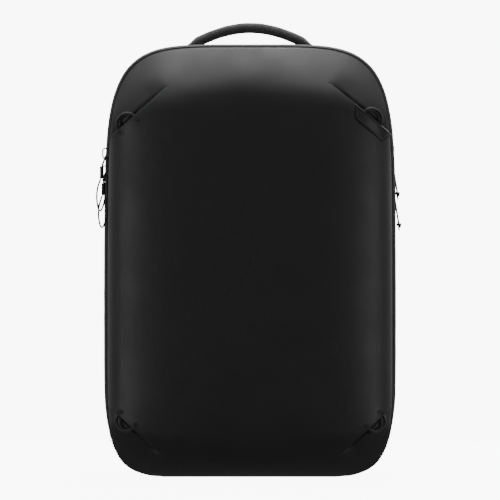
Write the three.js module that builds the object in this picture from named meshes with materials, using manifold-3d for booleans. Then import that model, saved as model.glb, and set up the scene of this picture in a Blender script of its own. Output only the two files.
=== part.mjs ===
// A travel backpack with a clamshell front lid and a clamshell harness panel, standing upright.
// Millimetres, +Z up, front of the pack towards -Y. The origin is on the floor under the pack body, midway
// across, about a quarter of the gusset's depth behind the gusset's front edge.
import * as THREE from "three";
import { LoftGeometry } from "three/addons/geometries/LoftGeometry.js";
import { RoundedBoxGeometry } from "three/addons/geometries/RoundedBoxGeometry.js";
import { mergeVertices } from "three/addons/utils/BufferGeometryUtils.js";
import Module from "manifold-3d";

const wasm = await Module();
wasm.setup();

// ---- Driving dimensions -------------------------------------------------------------------

const WIDTH = 326; // pack body at its widest
const HEIGHT = 488; // pack body without the handle
const TOP_POWER = 5.1; // superellipse power of the outline's upper half
const BASE_POWER = 7.3; // the lower corners are tighter
const BASE_CROWN = 0.8; // how much of the lower curve is cut off to leave a flat base
const TAPER = 0.015; // share of the width lost towards the top
const TAPER_FROM_Z = 200;
const OUTLINE_STEPS = 52;

const SHELL = 3.5; // coated face fabric, foam and lining, sewn as one
const FRONT_ZIP_Y = -25;
const REAR_ZIP_Y = 60;
const ZIP_GAP = 9; // from fabric edge to fabric edge, filled by the zip
const LID_DEPTH = 70;
const LID_INSET = 2; // the lid is this much smaller than the gusset all round
const REAR_INSET = 1; // and the gusset narrows by this much towards the harness panel
const PANEL_THICK = 11;
const PAD_THICK = 11;

const LID_EDGE_Y = FRONT_ZIP_Y - ZIP_GAP / 2;
const GUSSET_FRONT_Y = FRONT_ZIP_Y + ZIP_GAP / 2;
const GUSSET_REAR_Y = REAR_ZIP_Y - ZIP_GAP / 2;
const PANEL_Y = REAR_ZIP_Y + ZIP_GAP / 2;
const PANEL_BACK_Y = PANEL_Y + PANEL_THICK;
const PAD_BACK_Y = PANEL_BACK_Y + 0.3 + PAD_THICK;

const JOINT = 0.3; // gap between neighbouring pieces
const CORD_R = 1; // pull cord
const LASH_R = 1.8; // lash loop cord

// ---- Materials ------------------------------------------------------------------------------

const material = (color, roughness, metalness = 0) =>
  new THREE.MeshStandardMaterial({ color, roughness, metalness });
const coatedFabric = material(0x1c1e1d, 0.5);
const wovenFabric = material(0x232523, 0.85);
const lining = material(0x4a4d4c, 0.8);
const padMesh = material(0x1a1b1b, 0.95);
const webbing = material(0x191a1a, 0.8);
const cord = material(0x141414, 0.75);
const zipChain = material(0x101111, 0.55);
const zincAlloy = material(0x1b1b1c, 0.35, 0.9);
const nylon = material(0x161617, 0.45);
const softRubber = material(0x1f2120, 0.6);
const stiffener = material(0x2c2e30, 0.5);

// ---- Helpers --------------------------------------------------------------------------------

const pack = new THREE.Group();

function add(name, geometry, finish, parent = pack) {
  const mesh = new THREE.Mesh(geometry, finish);
  mesh.name = name;
  parent.add(mesh);
  return mesh;
}

// A closed geometry as a manifold-3d solid.
function solid(geometry) {
  const bare = new THREE.BufferGeometry()
    .setAttribute("position", geometry.attributes.position)
    .setIndex(geometry.index);
  const merged = mergeVertices(bare, 1e-3);
  const { array } = merged.index;
  const triangles = [];
  for (let i = 0; i < array.length; i += 3) {
    const [a, b, c] = [array[i], array[i + 1], array[i + 2]];
    if (a !== b && b !== c && c !== a) triangles.push(a, b, c);
  }
  return new wasm.Manifold(
    new wasm.Mesh({
      numProp: 3,
      vertProperties: new Float32Array(merged.attributes.position.array),
      triVerts: new Uint32Array(triangles),
    }),
  );
}

function geometryOf(manifold) {
  const { vertProperties, triVerts } = manifold.getMesh();
  const geometry = new THREE.BufferGeometry()
    .setAttribute("position", new THREE.BufferAttribute(vertProperties, 3))
    .setIndex(new THREE.BufferAttribute(triVerts, 1));
  geometry.computeVertexNormals();
  return geometry;
}

const join = (...geometries) =>
  geometryOf(geometries.map(solid).reduce((whole, next) => whole.add(next)));

const box = (x0, x1, y0, y1, z0, z1) =>
  new THREE.BoxGeometry(x1 - x0, y1 - y0, z1 - z0).translate((x0 + x1) / 2, (y0 + y1) / 2, (z0 + z1) / 2);

// A shape drawn in x and z, as a plate from y0 to y1.
const plate = (shape, y0, y1) =>
  new THREE.ExtrudeGeometry(shape, { depth: y1 - y0, bevelEnabled: false, curveSegments: 6 })
    .rotateX(Math.PI / 2)
    .translate(0, y1, 0);

// A round cord along a curve.
function tube(curve, radius, steps, sides = 8) {
  const section = new THREE.Shape();
  for (let i = 0; i < sides; i++) {
    const turn = (i / sides) * 2 * Math.PI;
    section[i ? "lineTo" : "moveTo"](radius * Math.cos(turn), radius * Math.sin(turn));
  }
  return new THREE.ExtrudeGeometry(section, { steps, extrudePath: curve });
}

// A loft through sections, closed at both ends by a fan of triangles.
function closedLoft(sections) {
  const pole = (section) => {
    const middle = section.reduce((sum, p) => sum.add(p), new THREE.Vector3()).divideScalar(section.length);
    return section.map(() => middle);
  };
  return new LoftGeometry([pole(sections[0]), ...sections, pole(sections.at(-1))]);
}

const curveThrough = (points, closed = false) =>
  new THREE.CatmullRomCurve3(points.map((p) => new THREE.Vector3(...p)), closed, "centripetal");

function roundedRectangle(width, height, radius) {
  const [w, h] = [width / 2, height / 2];
  const shape = new THREE.Shape();
  shape.moveTo(-w + radius, -h);
  shape.lineTo(w - radius, -h);
  shape.absarc(w - radius, -h + radius, radius, -Math.PI / 2, 0);
  shape.lineTo(w, h - radius);
  shape.absarc(w - radius, h - radius, radius, 0, Math.PI / 2);
  shape.lineTo(-w + radius, h);
  shape.absarc(-w + radius, h - radius, radius, Math.PI / 2, Math.PI);
  shape.lineTo(-w, -h + radius);
  shape.absarc(-w + radius, -h + radius, radius, Math.PI, 1.5 * Math.PI);
  return shape;
}

function slotHole(x, z) {
  const hole = new THREE.Path();
  const [w, h] = [13.2, 2.1];
  hole.moveTo(x - w, z - h);
  hole.lineTo(x + w, z - h);
  hole.lineTo(x + w, z + h);
  hole.lineTo(x - w, z + h);
  hole.closePath();
  return hole;
}

// ---- Outline --------------------------------------------------------------------------------

const MID_Z = HEIGHT / 2;

function narrowing(z) {
  const share = Math.max(0, (z - TAPER_FROM_Z) / (HEIGHT - TAPER_FROM_Z));
  return 1 - TAPER * share ** 1.5;
}

// A point on the pack's front outline: turn runs anticlockwise from +X, inset moves it inwards.
function outlinePoint(turn, inset, baseInset = inset) {
  const [c, s] = [Math.cos(turn), Math.sin(turn)];
  const upper = s >= 0;
  const power = upper ? TOP_POWER : BASE_POWER;
  const halfHeight = upper ? MID_Z - inset : MID_Z + BASE_CROWN - baseInset;
  const z = MID_Z + Math.sign(s) * halfHeight * Math.abs(s) ** (2 / power);
  const x = Math.sign(c) * (WIDTH / 2 - inset) * Math.abs(c) ** (2 / power);
  return [x * narrowing(z), Math.max(z, baseInset)];
}

// The outline's half width at a height.
function halfWidthAt(z, inset = 0) {
  const upper = z >= MID_Z;
  const power = upper ? TOP_POWER : BASE_POWER;
  const halfHeight = upper ? MID_Z - inset : MID_Z + BASE_CROWN - inset;
  const share = Math.min(1, Math.abs(z - MID_Z) / halfHeight);
  return (WIDTH / 2 - inset) * (1 - share ** power) ** (1 / power) * narrowing(z);
}

// A band that follows the outline: profile points are [y, inset, baseInset].
function band(profile, fromTurn = 0, toTurn = 2 * Math.PI, steps = OUTLINE_STEPS) {
  const whole = Math.abs(toTurn - fromTurn - 2 * Math.PI) < 1e-9;
  const sections = [];
  for (let i = 0; i <= steps; i++) {
    const turn = fromTurn + ((whole ? i % steps : i) / steps) * (toTurn - fromTurn);
    sections.push(
      profile.map(([y, inset, baseInset]) => {
        const [x, z] = outlinePoint(turn, inset, baseInset);
        return new THREE.Vector3(x, y, z);
      }),
    );
  }
  return whole ? new LoftGeometry(sections) : closedLoft(sections);
}

// ---- Gusset ---------------------------------------------------------------------------------

function gusset() {
  return band([
    [GUSSET_FRONT_Y, 0.5, 0.5],
    [GUSSET_FRONT_Y + 12, 0, 0],
    [GUSSET_REAR_Y - 30, 0.3, 0],
    [GUSSET_REAR_Y, REAR_INSET, 0],
    [GUSSET_REAR_Y, REAR_INSET + SHELL, SHELL],
    [GUSSET_FRONT_Y, SHELL, SHELL],
  ]);
}

add("main_gusset", gusset(), coatedFabric);

// The binding on the gusset's front edge stands a little proud of it, from one lower corner to the other.
const ZIP_FROM_TURN = -0.2 * Math.PI;
const ZIP_TO_TURN = 1.2 * Math.PI;

const RIM_Y = GUSSET_FRONT_Y + 2.3;
const RIM_R = 1.4;
const RIM_LIFT = 0.3 + RIM_R;
const rimProfile = [0, 1, 2, 3, 4, 5].map((i) => {
  const turn = (i / 6) * 2 * Math.PI;
  return [RIM_Y + RIM_R * Math.cos(turn), 0.45 - RIM_LIFT + RIM_R * Math.sin(turn)];
});
add("rim_piping", band(rimProfile, ZIP_FROM_TURN, ZIP_TO_TURN, 40), coatedFabric);

// ---- Zips: each is two toothed tapes that meet in the middle of the gap ------------------------

function zipHalf(name, y0, y1, inset) {
  const depth = 2.4;
  const profile = [
    [y0, inset],
    [y1, inset],
    [y1, inset + depth],
    [y0, inset + depth],
  ];
  add(name, band(profile, ZIP_FROM_TURN, ZIP_TO_TURN, 40), zipChain);
}

const ZIP_INSET = 3.6;
zipHalf("front_zip_lid_teeth", LID_EDGE_Y + JOINT, FRONT_ZIP_Y - JOINT / 2, ZIP_INSET);
zipHalf("front_zip_gusset_teeth", FRONT_ZIP_Y + JOINT / 2, GUSSET_FRONT_Y - JOINT, ZIP_INSET);
zipHalf("rear_zip_gusset_teeth", GUSSET_REAR_Y + JOINT, REAR_ZIP_Y - JOINT / 2, REAR_INSET + ZIP_INSET);
zipHalf("rear_zip_panel_teeth", REAR_ZIP_Y + JOINT / 2, PANEL_Y - JOINT, REAR_INSET + ZIP_INSET);

// ---- Front lid ------------------------------------------------------------------------------

const SIDE_PILLOW = 3.0; // how squarely the lid turns over at its sides
const END_PILLOW = 6; // and at its top and bottom
const TOP_BEVEL = { height: 26, slope: 1.5, blend: 44 };
const BASE_BEVEL = { height: 36, slope: 1.9, blend: 24 };
const SLIT_BLEND = 8; // softness of the lid's turn along a slit
const FACET_BLEND = 62; // and of a facet's, away from its slit

// Each corner has a slit: the front face stops along it, and a facet slopes back beyond it.
const FACET_SLOPE = 1;
const SLITS = {
  upper_left: { side: [-162, 379], inner: [-92, 440], height: 57 },
  upper_right: { side: [162, 385], inner: [88, 444], height: 57 },
  lower_left: { side: [-162, 86], inner: [-95, 25], height: 55 },
  lower_right: { side: [162, 84], inner: [99, 27], height: 55 },
};
for (const [corner, slit] of Object.entries(SLITS)) {
  const along = new THREE.Vector2(slit.inner[0] - slit.side[0], slit.inner[1] - slit.side[1]);
  slit.length = along.length();
  slit.along = along.normalize();
  const across = new THREE.Vector2(-along.y, along.x);
  const upwards = corner.startsWith("upper") ? 1 : -1;
  slit.outwards = across.y * upwards > 0 ? across : across.negate();
}

function softMinimum(a, b, softness) {
  const share = Math.max(softness - Math.abs(a - b), 0) / softness;
  return Math.min(a, b) - (share * share * softness) / 4;
}

// How far the lid's surface stands forward of its edge, for a surface lying offset inside the outer one.
function lidReach(x, z, offset) {
  const halfWidth = (WIDTH / 2 - LID_INSET - offset) * narrowing(z);
  const halfHeight = MID_Z - LID_INSET - offset;
  const u = Math.min(1, Math.abs(x) / halfWidth);
  const w = Math.min(1, Math.abs(z - MID_Z) / halfHeight);
  const side = (1 - u ** SIDE_PILLOW) ** (1 / SIDE_PILLOW);
  const end = (1 - w ** END_PILLOW) ** (1 / END_PILLOW);
  let reach = (LID_DEPTH - offset) * side * end;
  const lean = (slope) => offset * Math.sqrt(1 + slope * slope);
  for (const [bevel, rise] of [[TOP_BEVEL, HEIGHT - LID_INSET - z], [BASE_BEVEL, z]]) {
    reach = softMinimum(reach, bevel.height + rise * bevel.slope - lean(bevel.slope), bevel.blend);
  }
  for (const slit of Object.values(SLITS)) {
    const [dx, dz] = [x - slit.side[0], z - slit.side[1]];
    const beyond = dx * slit.outwards.x + dz * slit.outwards.y;
    const share = (dx * slit.along.x + dz * slit.along.y) / slit.length;
    const near = (1 - THREE.MathUtils.smoothstep(beyond, 2, 56)) * (1 - THREE.MathUtils.smoothstep(share, 0.6, 1.7));
    const blend = THREE.MathUtils.lerp(FACET_BLEND, SLIT_BLEND, near);
    reach = softMinimum(reach, slit.height - beyond * FACET_SLOPE - lean(FACET_SLOPE), blend);
  }
  return Math.max(reach, 0);
}

// Rings of the lid's surface from its edge to its middle.
function lidRings(offset, rings) {
  const sections = [];
  for (let k = 0; k <= rings; k++) {
    const share = k / (rings + 0.35);
    const radius = Math.cos((share * Math.PI) / 2) ** 0.55;
    const section = [];
    for (let i = 0; i < OUTLINE_STEPS; i++) {
      const [edgeX, edgeZ] = outlinePoint((i / OUTLINE_STEPS) * 2 * Math.PI, LID_INSET + offset, 1 + offset);
      const [x, z] = [edgeX * radius, MID_Z + (edgeZ - MID_Z) * radius];
      section.push(new THREE.Vector3(x, LID_EDGE_Y - (k ? lidReach(x, z, offset) : 0), z));
    }
    sections.push(section);
  }
  return sections;
}

// A shell between two such surfaces.
function lidShell(outerOffset, innerOffset, rings) {
  const outer = lidRings(outerOffset, rings);
  const inner = lidRings(innerOffset, rings);
  return closedLoft([...inner.reverse(), ...outer]);
}

// A place on a slit: share 0 is its side end and 1 its inner end.
function onSlit(slit, share) {
  const x = slit.side[0] + slit.along.x * slit.length * share;
  const z = slit.side[1] + slit.along.y * slit.length * share;
  return new THREE.Vector3(x, LID_EDGE_Y - lidReach(x, z, 0), z);
}

const LID_RINGS = 8;
const SLOT_WIDTH = 7;
const LOOP_SHARE = 0.34; // how far along its slit each lash loop stands
const LOOP_HALF_SPAN = 11;
const LOOP_REACH = 11;
const SLOT_HALF_LENGTH = LOOP_HALF_SPAN + LASH_R + 1;

const lidGroup = new THREE.Group();
pack.add(lidGroup);

let frontShell = solid(lidShell(0, SHELL, LID_RINGS));
for (const slit of Object.values(SLITS)) {
  const centre = onSlit(slit, LOOP_SHARE);
  const slot = new THREE.BoxGeometry(2 * SLOT_HALF_LENGTH, 60, SLOT_WIDTH)
    .rotateY(-Math.atan2(slit.along.y, slit.along.x))
    .translate(centre.x, centre.y, centre.z);
  frontShell = frontShell.subtract(solid(slot));
}
add("front_shell", geometryOf(frontShell), coatedFabric, lidGroup);

// Each lash loop comes up through its slot and lies over the facet. Its ends are sewn to a tab inside.
const INWARDS = 16;
for (const [corner, slit] of Object.entries(SLITS)) {
  const centre = onSlit(slit, LOOP_SHARE);
  const lean = (28 * Math.PI) / 180;
  const outwards = new THREE.Vector3(
    slit.outwards.x * Math.cos(lean),
    Math.sin(lean),
    slit.outwards.y * Math.cos(lean),
  );
  const feet = [-1, 1].map((end) => onSlit(slit, LOOP_SHARE + (end * LOOP_HALF_SPAN) / slit.length));
  const at = (across, out, inwards) =>
    feet[0]
      .clone()
      .lerp(feet[1], (1 + across) / 2)
      .addScaledVector(outwards, out)
      .add(new THREE.Vector3(0, inwards, 0));
  const clear = -LASH_R - 2.4; // above the fabric
  const half = [
    [1, 0, INWARDS],
    [1, 0, 4],
    [1, 1, clear + 1],
  ];
  for (const turn of [20, 45, 70]) {
    const angle = (turn * Math.PI) / 180;
    half.push([Math.cos(angle), 1 + LOOP_REACH * Math.sin(angle), clear]);
  }
  const otherHalf = half.map(([across, out, y]) => [-across, out, y]).reverse();
  const route = [...half, [0, 1 + LOOP_REACH, clear], ...otherHalf];
  const curve = new THREE.CatmullRomCurve3(route.map((p) => at(...p)), false, "centripetal");
  add(`lash_loop_${corner}`, tube(curve, LASH_R, 18), cord, lidGroup);
  const tab = new RoundedBoxGeometry(2 * LOOP_HALF_SPAN + 6, 12, 3, 1, 0.8)
    .rotateY(-Math.atan2(slit.along.y, slit.along.x))
    .translate(centre.x, Math.max(feet[0].y, feet[1].y) + INWARDS + JOINT + 6, centre.z);
  add(`lash_tab_${corner}`, tab, webbing, lidGroup);
}

// The blank rubber label folds over the upper right slit.
const LABEL_CORNERS = [[117.5, 417], [118, 403], [149, 378.5], [156.5, 385.5]];
const labelShape = new THREE.Shape(LABEL_CORNERS.map(([x, z]) => new THREE.Vector2(x, z)));
const labelPrism = solid(plate(labelShape, -120, -40));
add(
  "label_patch",
  geometryOf(solid(lidShell(-2, -0.7, LID_RINGS)).intersect(labelPrism)),
  softRubber,
  lidGroup,
);

// A mesh organiser panel closes the lower part of the lid and makes the front pocket.
const ORGANISER_TOP_Z = 330;
const organiser = plate(roundedRectangle(2 * 146, ORGANISER_TOP_Z - 22, 24), LID_EDGE_Y - 5, LID_EDGE_Y - 3.4)
  .translate(0, 0, (ORGANISER_TOP_Z + 22) / 2);
add("lid_organiser_panel", organiser, lining, lidGroup);

// ---- Inside the gusset ------------------------------------------------------------------------

const BASE_PLATE_Z = SHELL + JOINT + 0.4;
add("base_stiffener", box(-100, 100, GUSSET_FRONT_Y + 4, 26, BASE_PLATE_Z, BASE_PLATE_Z + 2.5), stiffener);

// The fabric hinges, where the zips leave a stretch of the bottom edge sewn.
const HINGE_HALF = 88;
add("front_hinge_fabric", box(-HINGE_HALF, HINGE_HALF, FRONT_ZIP_Y + 0.3, GUSSET_FRONT_Y - 0.3, 1.5, 2.7), wovenFabric);
add("rear_hinge_fabric", box(-HINGE_HALF, HINGE_HALF, GUSSET_REAR_Y + 0.3, REAR_ZIP_Y - 0.3, 1.5, 2.7), wovenFabric);

// ---- Top handle -------------------------------------------------------------------------------

const HANDLE_Y = 26;
const HANDLE_R = 5.3;
const HANDLE_TOP = 511.3; // its centreline
const HANDLE_END = { x: 72, z: 489.6, radius: 2.2 };
const handleGroup = new THREE.Group();
pack.add(handleGroup);

function handle() {
  const steps = 22;
  const sides = 10;
  const centre = (share) => {
    const x = HANDLE_END.x * share;
    const drop = HANDLE_TOP - HANDLE_END.z;
    const curve = 1.18 * share ** 2 - 0.18 * share ** 4;
    return new THREE.Vector3(x, HANDLE_Y, HANDLE_TOP - drop * curve);
  };
  const sections = [];
  for (let i = 0; i <= steps; i++) {
    const share = (2 * i) / steps - 1;
    const point = centre(share);
    const ahead = centre(share + 0.01).sub(centre(share - 0.01)).normalize();
    const up = new THREE.Vector3(-ahead.z, 0, ahead.x);
    const taper = THREE.MathUtils.smoothstep(Math.abs(share), 0.8, 1);
    const radius = THREE.MathUtils.lerp(HANDLE_R, HANDLE_END.radius, taper);
    const section = [];
    for (let j = 0; j < sides; j++) {
      const turn = (j / sides) * 2 * Math.PI;
      section.push(
        point
          .clone()
          .addScaledVector(up, radius * Math.sin(turn))
          .add(new THREE.Vector3(0, radius * Math.cos(turn), 0)),
      );
    }
    sections.push(section);
  }
  return closedLoft(sections);
}
add("top_handle", handle(), wovenFabric, handleGroup);

for (const [side, sign] of [["left", -1], ["right", 1]]) {
  const x = sign * (HANDLE_END.x + 9.5);
  const tab = new RoundedBoxGeometry(18, 16, 2.4, 1, 0.8).rotateY(sign * 0.06).translate(x, HANDLE_Y, 488.2);
  add(`handle_tab_${side}`, tab, webbing);
}

// ---- Zip sliders and pulls ----------------------------------------------------------------------

const SLIDER = { long: 15, wide: 7.6, plate: 2.4, archOut: 6.2, archLong: 13, wire: 1.8, lift: -2 };

// A slider with its bail, for the side wall facing +X; its origin is on the wall under its middle.
function sliderGeometry() {
  const { long, wide, plate: thick, archOut, archLong, wire, lift } = SLIDER;
  const body = new RoundedBoxGeometry(thick, wide, long, 1, 0.9).translate(lift + thick / 2, 0, 0);
  const outer = roundedRectangle(archOut + 1.6, archLong, 2.6);
  outer.holes.push(roundedRectangle(archOut + 1.6 - 2 * wire, archLong - 2 * wire, 1.4));
  const arch = new THREE.ExtrudeGeometry(outer, { depth: wire, bevelEnabled: false, curveSegments: 3 })
    .rotateX(Math.PI / 2)
    .translate(lift + thick + archOut / 2 - 0.8, wire / 2, 0);
  return join(body, arch);
}

// Where the pull's pin passes through the bail, from the slider's origin.
const PIN = {
  x: SLIDER.lift + SLIDER.plate + SLIDER.archOut / 2 - 0.8,
  z: -SLIDER.archLong / 2 + SLIDER.wire + CORD_R + 0.35,
};
const STRAND_Y = 2.7; // the cord's two strands pass either side of the bail

// The cord through the bail: up one side, through, and down the other, to a sleeve.
function strandRoute(sleeveTop) {
  const route = [];
  for (const side of [-1, 1]) {
    const strand = [
      [sleeveTop[0], sleeveTop[1] + side * 1.2, sleeveTop[2]],
      [0.45 * sleeveTop[0], 0.25 * sleeveTop[1] + side * STRAND_Y, -5.8],
      [0.2 * sleeveTop[0], side * STRAND_Y, -2.6],
      [0, side * STRAND_Y * 0.86, 0],
    ];
    route.push(...(side < 0 ? strand : strand.reverse()));
  }
  return route;
}

const SLEEVE_LONG = 14;
const LOOP_LONG = 36;
const LOOP_WIDE = 12.6;

// A teardrop of cord hanging from z = 0, from one foot at -0.9 round to the other at 0.9.
function teardropRoute(lean) {
  const route = [];
  for (let i = 0; i <= 14; i++) {
    const share = i / 14;
    const turn = share * Math.PI * 2;
    const drop = (LOOP_LONG * (1 - Math.cos(turn))) / 2;
    const widest = Math.sin(turn) * (1 - 0.42 * Math.cos(turn - Math.PI)) * 0.5;
    const x = -(LOOP_WIDE / 2) * widest * 1.25 * Math.sqrt(drop / LOOP_LONG + 0.02) * 1.45;
    route.push([x + lean * drop + 1.15 * (2 * share - 1), 0, -drop]);
  }
  return route;
}

// The rest place of each slider: side of the pack, zip plane, height, and how its pull hangs.
const SLIDERS = {
  left_upper: { side: -1, zipY: FRONT_ZIP_Y, inset: 0, z: 367, hang: [4.6, -8, -12] },
  left_lower: { side: -1, zipY: FRONT_ZIP_Y, inset: 0, z: 347, hang: [1.6, 0, -11] },
  right_upper: { side: 1, zipY: REAR_ZIP_Y, inset: REAR_INSET, z: 373, hang: [2.2, 8, -12], knotted: true },
  right_lower: { side: 1, zipY: REAR_ZIP_Y, inset: REAR_INSET, z: 336, hang: [2.2, 0, -11], knotted: true },
};

const KNOT_DROP = 33;
for (const [name, slider] of Object.entries(SLIDERS)) {
  const group = new THREE.Group();
  group.position.set(slider.side * halfWidthAt(slider.z, slider.inset), slider.zipY, slider.z);
  group.rotation.z = slider.side > 0 ? 0 : Math.PI;
  pack.add(group);
  add(`zip_slider_${name}`, sliderGeometry(), zincAlloy, group);

  const pull = new THREE.Group();
  pull.position.set(PIN.x, 0, PIN.z);
  group.add(pull);
  const [outwards, forwards, down] = slider.hang;
  const sleeveTop = [outwards, slider.side < 0 ? -forwards : forwards, down];
  const strands = curveThrough(strandRoute(sleeveTop));
  if (slider.knotted) {
    const lean = 0.16;
    const foot = [outwards + lean * KNOT_DROP, sleeveTop[1], down - KNOT_DROP];
    const route = strandRoute(sleeveTop);
    route.unshift([foot[0], foot[1] - 1.2, foot[2]]);
    route.push([foot[0], foot[1] + 1.2, foot[2]]);
    add(`pull_cord_${name}`, tube(curveThrough(route), CORD_R, 28), cord, pull);
    const knot = new THREE.SphereGeometry(3.1, 10, 8)
      .scale(1, 1, 0.9)
      .translate(foot[0] + lean * 3.2, foot[1], foot[2] - 3.2);
    add(`pull_knot_${name}`, knot, cord, pull);
  } else {
    const sleeve = new RoundedBoxGeometry(4.6, 5.2, SLEEVE_LONG, 1, 1.6).translate(
      sleeveTop[0],
      sleeveTop[1],
      down - SLEEVE_LONG / 2 + 0.6,
    );
    add(`pull_sleeve_${name}`, join(tube(strands, CORD_R, 16), sleeve), softRubber, pull);
    const foot = [sleeveTop[0], sleeveTop[1], down - SLEEVE_LONG + 0.3];
    const loop = curveThrough(
      teardropRoute(0.05).map(([x, y, z]) => [foot[0] + x, foot[1] + y, foot[2] + z]),
    );
    add(`pull_loop_${name}`, tube(loop, CORD_R, 26), cord, pull);
  }
}

// ---- Harness panel --------------------------------------------------------------------------------

const panelGroup = new THREE.Group();
pack.add(panelGroup);

function harnessPanel() {
  const ring = (y, inset, baseInset) => {
    const section = [];
    for (let i = 0; i < OUTLINE_STEPS; i++) {
      const [x, z] = outlinePoint((-i / OUTLINE_STEPS) * 2 * Math.PI, inset, baseInset);
      section.push(new THREE.Vector3(x, y, z));
    }
    return section;
  };
  const sections = [
    ring(PANEL_Y, REAR_INSET, 2),
    ring(PANEL_Y + 6, REAR_INSET, 2),
    ring(PANEL_Y + 9.5, REAR_INSET + 2.5, 4.5),
    ring(PANEL_BACK_Y, REAR_INSET + 7, 9),
  ];
  return closedLoft(sections);
}
add("harness_panel", harnessPanel(), wovenFabric, panelGroup);

const FRAME_SHEET_Y = [REAR_ZIP_Y + 1, REAR_ZIP_Y + 2.6];
const frameSheet = plate(roundedRectangle(272, 452, 46), ...FRAME_SHEET_Y).translate(0, 0, 243);
add("frame_sheet", frameSheet, stiffener, panelGroup);

// The laptop sleeve is a padded tray, open at its top; the frame sheet closes its back.
const SLEEVE = { halfWidth: 132, front: 31, back: FRAME_SHEET_Y[0] - 0.3, bottom: 18, top: 345, wall: 4 };
const sleeveOuter = box(-SLEEVE.halfWidth, SLEEVE.halfWidth, SLEEVE.front, SLEEVE.back, SLEEVE.bottom, SLEEVE.top);
const sleeveInner = box(
  -SLEEVE.halfWidth + SLEEVE.wall,
  SLEEVE.halfWidth - SLEEVE.wall,
  SLEEVE.front + SLEEVE.wall,
  SLEEVE.back + 1,
  SLEEVE.bottom + SLEEVE.wall,
  SLEEVE.top + 1,
);
add("laptop_sleeve", geometryOf(solid(sleeveOuter).subtract(solid(sleeveInner))), lining, panelGroup);

// Back pads: two tall ones above the lumbar pair, with an air channel down the middle.
const PADS = {
  upper: { width: 112, height: 196, z: 314 },
  lower: { width: 124, height: 120, z: 140 },
};
for (const [row, pad] of Object.entries(PADS)) {
  for (const [side, sign] of [["left", -1], ["right", 1]]) {
    const bevel = 3.5;
    const shape = roundedRectangle(pad.width - 2 * bevel, pad.height - 2 * bevel, 20);
    const geometry = new THREE.ExtrudeGeometry(shape, {
      depth: PAD_THICK - 2 * bevel,
      bevelThickness: bevel,
      bevelSize: bevel,
      bevelSegments: 1,
      curveSegments: 4,
    })
      .rotateX(Math.PI / 2)
      .translate(sign * (pad.width / 2 + 9), PAD_BACK_Y - bevel, pad.z);
    add(`back_pad_${row}_${side}`, geometry, padMesh, panelGroup);
  }
}

// ---- Shoulder straps --------------------------------------------------------------------------------

// A strap or webbing: a flat section along a centreline, wide across X, with its edges cut off by bevel.
function ribbon(points, widths, thicknesses, steps, bevel = 0) {
  const curve = curveThrough(points);
  const sections = [];
  for (let i = 0; i <= steps; i++) {
    const share = i / steps;
    const point = curve.getPoint(share);
    const ahead = curve.getTangent(share);
    const across = new THREE.Vector3(1, 0, 0).addScaledVector(ahead, -ahead.x).normalize();
    const out = new THREE.Vector3().crossVectors(ahead, across);
    const spot = share * (widths.length - 1);
    const [low, high] = [Math.floor(spot), Math.ceil(spot)];
    const width = THREE.MathUtils.lerp(widths[low], widths[high], spot - low) / 2;
    const thick = THREE.MathUtils.lerp(thicknesses[low], thicknesses[high], spot - low) / 2;
    const square = [
      [width, -thick],
      [width, thick],
      [-width, thick],
      [-width, -thick],
    ];
    const corner = thick * bevel;
    const rounded = [
      [width, -thick + corner],
      [width, thick - corner],
      [width - corner, thick],
      [-width + corner, thick],
      [-width, thick - corner],
      [-width, -thick + corner],
      [-width + corner, -thick],
      [width - corner, -thick],
    ];
    const outline = bevel ? rounded : square;
    sections.push(
      outline.map(([a, o]) => point.clone().addScaledVector(across, a).addScaledVector(out, o)),
    );
  }
  return closedLoft(sections);
}

const STRAP_ROOT_Y = PANEL_BACK_Y + 9; // the strap's path is measured behind this
const WEBBING = 1.8;

// A half of a side-release buckle, hanging from z = 0: the tongue on the left, the socket on the right.
function buckle(side) {
  const bar = new RoundedBoxGeometry(25, 7, 9, 1, 1.5).translate(0, 0, -4.5);
  if (side === "right") return join(bar, new RoundedBoxGeometry(25, 9, 22, 1, 2).translate(0, 0, -17));
  const prong = new RoundedBoxGeometry(4, 4.4, 22, 1, 1);
  const pieces = [-8.6, 0, 8.6].map((x) => prong.clone().translate(x, 0, -18));
  return join(bar, ...pieces);
}

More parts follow.
